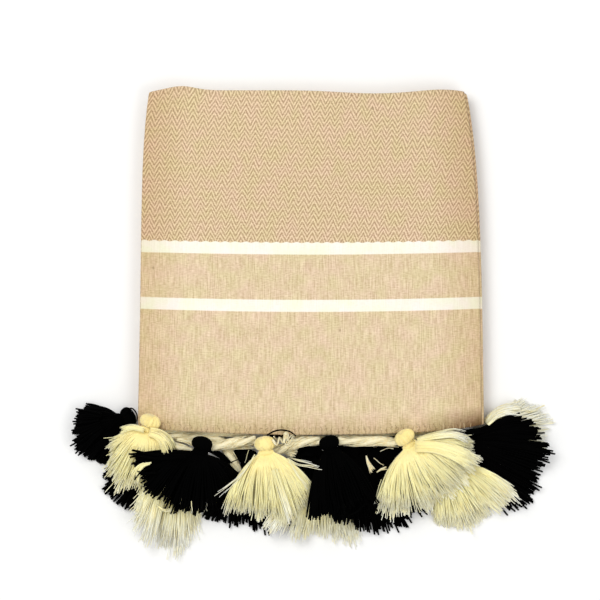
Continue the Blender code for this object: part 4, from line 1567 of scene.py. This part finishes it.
LOOSE_STRANDS = tuple(LooseStrands(*row) for row in (
    # the black cord's loop beside the left corner
    ("black_2", 1, 0.75, (0, 0), 0, ((-176, -146), (-174.6, -142.4), (-171, -141.6), (-168, -144.2),
     (-166.5, -149), (-166.6, -154)), None, 24),
    # strands of the left cream tassel that part to its right, and short ones at its left
    ("cream_5", 70, 0.45, (4.0, 7.0), 12, ((-153, -164), (-144, -167), (-137, -174), (-133, -184))),
    ("cream_5", 30, 0.4, (2.0, 4.0), 30, ((-158, -163), (-170, -160), (-182, -163))),
    ("cream_5", 46, 0.4, (1.4, 5.5), 40, ((-150, -193.5), (-158, -195.5), (-164, -202),
     (-168, -214)), None, 11, 0.55),
    # long strays of the middle cream tassel
    ("cream_6", 3, 0.36, (1, 3), 60, ((-52, -186), (-64, -205), (-75, -214), (-86, -222), (-92, -226))),
    ("cream_6", 3, 0.34, (1, 4), 60, ((-56, -192), (-68, -209), (-80, -220), (-90, -228))),
    ("cream_6", 1, 0.36, (0, 0), 60, ((-58.7, -181.3), (-61, -188), (-62.5, -194))),
    ("cream_6", 3, 0.38, (1, 2.5), 60, ((-22, -188), (-14, -191), (-5, -192.8), (10, -197))),
    ("cream_6", 3, 0.38, (1, 2.5), 60, ((-22, -190), (-12, -196), (0, -198), (12, -200))),
    ("cream_6", 3, 0.36, (1, 3), 60, ((-20, -192), (-12.5, -204), (-5, -214), (0.5, -221))),
    ("cream_6", 1, 0.4, (0, 0), 30, ((-38, -222), (-39.4, -233), (-40.4, -248))),
    ("cream_6", 16, 0.4, (3, 3.5), 45, ((-34, -200), (-26, -225), (-16, -256))),
    # a thread end crumpled between the hem and the cord, black strands under it as painted shade in the gap,
    # and the black thread over it
    # painted shade: black strands that stand in for the shadow under the crumpled thread
    ("black_8", 26, 0.7, (1.5, 2.5), 0, ((-39, -169), (-27, -167), (-13, -169.5)), 12.0),
    ("cord_4", 6, 0.45, (1.2, 1.6), 20, ((-36, -171.5), (-32, -176.5), (-29, -169.5), (-26, -174.5),
     (-23, -164.7), (-20.2, -172.5), (-16.4, -167.7), (-12.5, -169.6)), None, 30),
    ("cord_4", 5, 0.45, (1.2, 1.6), 20, ((-34, -168), (-30, -172), (-25, -168), (-22, -176), (-17, -171),
     (-12, -173)), None, 24),
    ("black_8", 1, 0.8, (0, 0), 0, ((-41, -167.6), (-34, -163.5), (-27, -162.3), (-20, -164),
     (-13.5, -168.6)), None, 24),
    # a pale end, a thread and their loop below the right cord
    ("cord_5", 34, 0.36, (0.4, 3.4), 20, ((54, -187), (56.5, -195), (60.5, -203))),
    ("black_5", 1, 0.5, (0, 0), 0, ((53, -185), (58, -189), (63.5, -194.4), (66.4, -202))),
    ("cord_5", 1, 0.4, (0, 0), 20, ((67.3, -183), (72.8, -180.5), (80, -180))),
    ("cord_5", 1, 0.4, (0, 0), 20, ((61.3, -189.3), (66, -193), (70.7, -196.6))),
    ("cord_5", 14, 0.36, (0.4, 1.8), 20, ((64, -203), (68, -200.5), (74, -198))),
    # black strands that cross what lies beside them
    ("black_7", 1, 0.6, (0, 0), 0, ((-82, -200), (-77.2, -195), (-68.3, -190.2))),
    ("black_7", 3, 0.75, (1, 2), 0, ((-150, -199), (-160, -203), (-168, -213.5))),
    ("black_7", 3, 0.7, (1, 2), 0, ((-146, -203), (-156, -204), (-164, -203.5))),
    ("black_5", 2, 0.8, (0, 1), 0, ((54, -231), (45, -240), (34, -246))),
    # cream strands over the black tassel's edge
    ("cream_2", 1, 0.4, (0, 0), 60, ((-113, -230), (-112.6, -236), (-112.8, -242))),
    ("cream_2", 6, 0.4, (1, 2), 60, ((-145, -235), (-140, -238.6), (-129, -237.6))),
    # longer ends that stand out from the left black tassels
    ("black_2", 12, 1.1, (3, 9), 0, ((-202, -154), (-214, -157), (-231, -160))),
    ("black_2", 12, 1.1, (3, 9), 0, ((-200, -160), (-212, -168), (-229, -181))),
    ("black_2", 8, 1.1, (2, 6), 0, ((-200, -148), (-212, -146), (-226, -145))),
    ("black_7", 12, 0.85, (1.5, 4), 0, ((-118, -187), (-140, -188), (-154, -186.5), (-171, -183))),
    # strands that fill the right cream tassels' sides
    ("cream_4", 110, 0.45, (5, 10), 20, ((140, -199), (158, -214), (173, -225), (189, -237)), 10.0),
    ("cream_7", 110, 0.45, (5, 9), 10, ((100, -178), (122, -179), (142, -186), (162, -198))),
    ("cream_7", 50, 0.4, (2, 6), 45, ((102, -172), (122, -168), (140, -166), (154, -171))),
    # the worn tassel's strands beside the right corner
    ("cream_1", 70, 0.42, (3, 7), 70, ((169, -156), (176, -149), (188, -143), (204, -141))),
    # black strands beside the necks, under the cords
    ("black_5", 70, 0.8, (4, 8), 0, ((48, -176), (40, -178), (33, -184), (28, -196)), 8.0),
    ("black_6", 40, 0.8, (3, 6), 0, ((0, -180), (6, -182), (9, -190), (10, -204)), 10.0),
    ("black_4", 40, 0.8, (3, 5), 0, ((-60, -186), (-66, -184), (-74, -188), (-80, -198)), 8.0),
    ("black_5", 60, 0.8, (4, 6), 0, ((47, -179), (42, -183), (38, -190), (36, -202)), 8.0),
    ("black_8", 24, 0.8, (1.5, 2.5), 0, ((7, -177), (10, -184), (12, -192)), 9.0),
    ("black_8", 24, 0.8, (1.5, 2.5), 0, ((29.5, -177), (27, -184), (26, -192)), 9.0),
    ("black_6", 40, 0.8, (3, 5), 0, ((-6, -181), (-11, -187), (-14, -195)), 9.0),
    ("black_3", 50, 0.8, (1.6, 2.6), 0, ((132, -165.6), (150, -164.4), (174, -161)), 14.0),
    ("black_7", 40, 0.8, (1.5, 3), 0, ((-101, -180), (-92, -183), (-84, -188), (-77, -196)), 13.0),
    # fibres that stand between the hem and the cords
    ("cord_2", 26, 0.45, (1.4, 2.2), 0, ((-128, -171.5), (-119, -173), (-110, -177)), 13.0),
    ("cord_4", 60, 0.45, (2.5, 5), 0, ((-37, -177), (-24, -181), (-12, -185)), 16.5),
    ("cord_1", 22, 0.45, (1.3, 1.3), 0, ((-145, -163.4), (-120, -164.2), (-89, -166.2), (-52, -168)), 15.0),
    ("cord_3", 26, 0.45, (2.2, 2.6), 0, ((-92, -180), (-71, -179), (-50, -178)), 14.0),
    ("cord_4", 20, 0.45, (1.2, 1.2), 0, ((-20, -168.6), (0, -169.2), (26, -169)), 15.0),
    ("cord_5", 20, 0.45, (1.2, 1.2), 0, ((24, -169), (50, -168.4), (88, -166.4)), 15.0),
    ("cord_6", 20, 0.45, (1.2, 1.2), 0, ((98, -165.8), (118, -164.4), (144, -162.4)), 14.0),
))


def add_loose_strands(shell: Shell, owner: str, pile: Pile) -> None:
    """Adds the loose strands that belong to a tassel or a cord.

    Args:
        shell: what they are added to.
        owner: its name.
        pile: what they lie on.
    """
    for seed, strands in enumerate(LOOSE_STRANDS, 900):
        if strands.owner == owner:
            random = np.random.default_rng(seed)
            paths = strands.paths(pile, random)
            taper = 1 - strands.TAPER * np.linspace(0.0, 1.0, paths.shape[1]) ** 3
            radii = np.broadcast_to(strands.radius * MM * taper, paths.shape[:2])
            marks = random.uniform(0, 1, strands.count)
            shell.add_tubes(paths, radii, 4, UP, marks, start=strands.along * MM)


# ---------------------------------------------------------------- the fringe cords


@dataclass(frozen=True)
class FringeCord:
    """One cord: two soft strands twisted about each other, with a few fibres that stand off."""

    number: int
    route: tuple[Point, ...]  # millimetres
    strand_radius: float = 2.8 * MM
    strand_offset: float = 1.7 * MM
    turn_length: float = 46.0 * MM
    step: float = 0.8 * MM
    sides: int = 22
    tuck: float = 3.2 * MM  # how far each end runs on under the tassel beside it
    fullness: float = 0.93  # the share of the radius that is left between a strand's fibres
    ridges: int = 5  # fibres round a strand
    ridge_length: float = 1.6 * MM  # in which they wind on by one radian
    lump_length: float = 4.3 * MM
    lumps: float = 0.06
    closing: float = 1.3 * MM  # the length over which an end closes in
    fibres: int = 60
    fibre_stations: int = 7
    fibre_radius: float = 0.22 * MM
    fibre_wind: float = 1.8  # the angle by which a fibre winds round
    fibre_away: float = 1.35  # how far it lies from the cord's middle, in strand radii
    fibre_lift: float = 0.5 * MM  # and at most further in its middle
    flatness: Pair = (1.15, 0.9)  # of the ring on which the fibres lie, sideways and upwards

    @property
    def knots(self) -> Array:
        """The route's points in metres."""
        return np.array(self.route, dtype=float) * MM

    @property
    def length(self) -> float:
        """The length along the route."""
        return float(lengths_along(self.knots)[-1])

    def build(self, material: Material, pile: Pile) -> Piece:
        """Builds both strands and the fibres as one piece: each strand's middle is a helix about the cord's.

        Args:
            material: the cord's finish.
            pile: what its loose strands lie on.
        Returns:
            The piece.
        """
        middle = through_knots(self.knots, max(12, round(self.length / self.step)))
        slide = np.arange(1, round(self.tuck / self.step) + 1)[:, None] * self.step
        before = middle[0] + slide[::-1] * unit(middle[0] - middle[1])
        middle = np.concatenate([before, middle, middle[-1] + slide * unit(middle[-1] - middle[-2])])
        side, over = sides_of(middle, UP)
        place = np.linspace(0.0, self.length + 2 * len(slide) * self.step, len(middle))
        shell = Shell()
        for half in (0.0, math.pi):
            twist = (place / self.turn_length * TURN + half)[:, None]
            centre = middle + (side * np.cos(twist) + over * np.sin(twist)) * self.strand_offset
            self.add_strand(shell, centre, side, over, place, half)
        self.add_fibres(shell, middle, side, over)
        add_loose_strands(shell, f"cord_{self.number}", pile)
        return shell.piece(f"twisted_cord_{self.number}", material, YARN_MAP)

    def add_strand(self, shell: Shell, centre: Array, side: Array, over: Array, place: Array,
                   half: float) -> None:
        """Adds one strand: rings whose radius ripples with its fibres and closes in at both ends.

        Args:
            shell: what it is added to.
            centre: the strand's middle line.
            side: the sideways direction at each point.
            over: the upward one.
            place: the length along the cord at each point.
            half: the strand's own phase.
        """
        random = np.random.default_rng(300 + self.number)
        turn = np.arange(self.sides) * TURN / self.sides
        ripple = 0.05 * np.sin(self.ridges * turn[None] + place[:, None] / self.ridge_length)
        ripple = ripple + 0.05 * np.sin(3 * turn[None] - place[:, None] / (5 * MM) + half)
        lumps = 1 + self.lumps * np.sin(place / self.lump_length + random.uniform(0, 6.3) + half)
        ends = np.minimum(place, place[-1] - place)
        closing = np.sqrt(np.clip(ends / self.closing, 0.0, 1.0)) * 0.4 + 0.6
        radius = self.strand_radius * (self.fullness + ripple) * (lumps * closing)[:, None]
        points = (centre[:, None] + side[:, None] * (np.cos(turn) * radius)[..., None]
                  + over[:, None] * (np.sin(turn) * radius)[..., None])
        share = np.abs(2 * turn / TURN - 1)
        places = np.stack(np.broadcast_arrays(share[None], place[:, None]), axis=-1)
        shell.add_rings(points, [centre[0], centre[-1]], places, [(0.5, 0.0), (0.5, place[-1])])

    def add_fibres(self, shell: Shell, middle: Array, side: Array, over: Array) -> None:
        """Adds fine fibres that lie along the cord and stand a little off it.

        Args:
            shell: what they are added to.
            middle: the cord's middle line.
            side: the sideways direction at each point.
            over: the upward one.
        """
        random = np.random.default_rng(600 + self.number)
        stretch = np.linspace(0, 1, self.fibre_stations)
        start = random.integers(0, max(1, len(middle) // 2), self.fibres)
        index = (start[:, None] + stretch * (len(middle) // 2 - 1)).astype(int)
        index = np.clip(index, 0, len(middle) - 1)
        angle = random.uniform(0, TURN, self.fibres)[:, None] + self.fibre_wind * stretch
        lift = np.sin(math.pi * stretch) * random.uniform(0.0, self.fibre_lift, self.fibres)[:, None]
        away = self.strand_radius * self.fibre_away + lift
        wide, high = self.flatness
        paths = (middle[index] + side[index] * (np.cos(angle) * away * wide)[..., None]
                 + over[index] * (np.sin(angle) * away * high)[..., None])
        radii = np.full(paths.shape[:2], self.fibre_radius)
        shell.add_tubes(paths, radii, 4, UP, random.uniform(0, 1, self.fibres))


CORD_ROUTES = (  # x, y and z in millimetres
    ((-141, -167.5, 14), (-126, -168.6, 12), (-103, -168.4, 11.5), (-92, -169.5, 12), (-84, -174, 12),
     (-79, -182, 12), (-74, -192, 13), (-70, -201, 15)),
    ((-134, -176.5, 21), (-127, -179.5, 21), (-116, -183, 21)),
    ((-92, -178, 21), (-84, -177, 21), (-70, -174, 21), (-54.8, -172, 21)),
    ((-32, -183, 22), (-18, -177, 22), (-4, -173.4, 22), (7.2, -172.8, 22)),
    ((29.8, -173, 21), (48, -173.5, 21), (66, -173, 21), (84, -174.5, 20)),
    ((101, -171.8, 18), (118, -171, 15), (133, -171.6, 13)),
)


class Fringe:
    """All cords and tassels, laid one on another in the frame's own order."""

    CORD_STEP = 5.5 * MM

    def __init__(self, panel: FoldedPanel) -> None:
        """Lays everything.

        Args:
            panel: the cloth that the fringe hangs from.
        """
        self.cords = [FringeCord(number, route) for number, route in enumerate(CORD_ROUTES, 1)]
        self.pile = Pile(panel)
        sizes = TasselSizes()
        self.fans: list[tuple[str, Fan]] = []
        counts = {CREAM.name: 0, BLACK.name: 0}
        cords_laid = False
        for seed, place in enumerate(TASSEL_PLACES):
            if place.height > FLOOR_LEVEL and not cords_laid:
                self.stamp_cords()
                cords_laid = True
            counts[place.yarn.name] += 1
            name = f"{place.yarn.name}_{counts[place.yarn.name]}"
            self.fans.append((name, Fan(place, sizes, self.pile, seed)))

    def stamp_cords(self) -> None:
        """Raises the pile to every cord."""
        for cord in self.cords:
            points = through_knots(cord.knots, max(3, round(cord.length / self.CORD_STEP)) + 1)
            reach = cord.strand_offset + cord.strand_radius
            for start, end in zip(points, points[1:]):
                way = end - start
                side = np.array((-way[1], way[0], 0.0)) / math.hypot(way[0], way[1])
                self.pile.stamp_stretch(Section(start, side, reach, reach), Section(end, side, reach, reach))

    def build(self) -> list[Piece]:
        """Builds every cord and tassel.

        Returns:
            The pieces.
        """
        pieces = []
        cord_material = PliedCord().material()
        for cord in self.cords:
            pieces.append(cord.build(cord_material, self.pile))
            settle_on_frame(pieces[-1], Slot.CORD, f"fringe_cord_{cord.number}")
        yarn_materials = {yarn.name: yarn.finish.material() for yarn in (CREAM, BLACK)}
        for seed, (name, fan) in enumerate(self.fans):
            yarn = fan.place.yarn
            pieces.append(TasselMaker(fan, seed).build(name, yarn_materials[yarn.name]))
            settle_on_frame(pieces[-1], yarn.slot, f"tassel_{name}")
        return pieces


# ---------------------------------------------------------------- the studio


@dataclass(frozen=True)
class SoftBox:
    """A square soft box that faces the towel. Lengths are in metres and the power is in watts."""

    name: str
    place: Point
    power: float
    size: float = 1.2

    def build(self) -> None:
        """Makes the light."""
        data = bpy.data.lights.new(self.name, "AREA")
        data.size = self.size
        data.energy = self.power
        light = bpy.data.objects.new(self.name, data)
        light.location = self.place
        light.rotation_euler = (-Vector(self.place)).to_track_quat("-Z", "Y").to_euler()
        bpy.context.scene.collection.objects.link(light)


@dataclass(frozen=True)
class Studio:
    """A white table under soft light from the left and behind, seen from almost straight above."""

    pixel: float = 0.962 * MM  # what one of the picture's pixels spans at the cloth
    picture_width: int = 600  # pixels
    picture_middle: Point = (-9.6 * MM, -37.5 * MM, 20.0 * MM)
    distance: float = 2.6
    elevation: float = 87.0
    sensor: float = 36.0
    floor_reach: float = 6.0
    floor_drop: float = 0.2 * MM  # keeps the floor clear of the cloth's underside
    surround: float = 0.50
    boxes: tuple[SoftBox, ...] = (
        SoftBox("key_box", (-0.75, 0.6, 1.98), 26.4), SoftBox("fill_box", (0.9, -0.8, 1.8), 11.8))

    def build(self) -> None:
        """Makes the floor, the lights and the camera."""
        self.floor()
        self.lights()
        self.camera()

    def floor(self) -> None:
        """Makes the plain floor."""
        mesh = bpy.data.meshes.new("studio_floor")
        reach = self.floor_reach
        corners = [(-reach, -reach, 0), (reach, -reach, 0), (reach, reach, 0), (-reach, reach, 0)]
        mesh.from_pydata(corners, [], [(0, 1, 2, 3)])
        mesh.materials.append(StudioFloor().material())
        floor = bpy.data.objects.new("studio_floor", mesh)
        bpy.context.scene.collection.objects.link(floor)
        floor.location.z = -self.floor_drop

    def lights(self) -> None:
        """Makes the even white surround and the soft boxes."""
        world = bpy.data.worlds.new("studio_surround")
        world.use_nodes = True
        background = world.node_tree.nodes["Background"]
        background.inputs["Color"].default_value = (1.0, 1.0, 1.0, 1.0)
        background.inputs["Strength"].default_value = self.surround
        bpy.context.scene.world = world
        for box in self.boxes:
            box.build()
        bpy.context.scene.view_settings.view_transform = "Standard"

    def camera(self) -> None:
        """Makes the camera, so that one pixel of the picture spans its size at the cloth."""
        data = bpy.data.cameras.new("overhead_camera")
        data.sensor_width = self.sensor
        data.lens = self.sensor * self.distance / (self.picture_width * self.pixel)
        camera = bpy.data.objects.new("overhead_camera", data)
        rise = math.radians(self.elevation)
        back = Vector((0.0, -math.cos(rise), math.sin(rise)))
        camera.location = Vector(self.picture_middle) + back * self.distance
        camera.rotation_euler = (math.pi / 2 - rise, 0.0, 0.0)
        bpy.context.scene.collection.objects.link(camera)
        bpy.context.scene.camera = camera


def settle_on_frame(piece: Piece, slot: Slot, *nodes: str) -> None:
    """Ties a piece to the frame, and reports it.

    Args:
        piece: the finished piece.
        slot: not used.
        nodes: the frame's nodes that it stands for.
    """
    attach(piece, Body.ROOT.value)
    if nodes:
        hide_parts(*nodes)
    log.info("%s: %d faces", piece.name, len(piece.data.polygons))


def main() -> None:
    """Builds the towel and its studio."""
    logging.basicConfig(level=logging.INFO, format="%(name)s %(message)s")
    panel = FoldedPanel()
    cloth, flat = panel.build()
    settle_on_frame(cloth, Slot.CLOTH, "towel_cloth")
    stitches = HemStitches(panel).build()
    settle_on_frame(stitches, Slot.CLOTH)
    fringe = Fringe(panel).build()
    Studio().build()
    log.info("flat cloth %.3f by %.3f m", *flat)


if __name__ == "__main__":
    main()
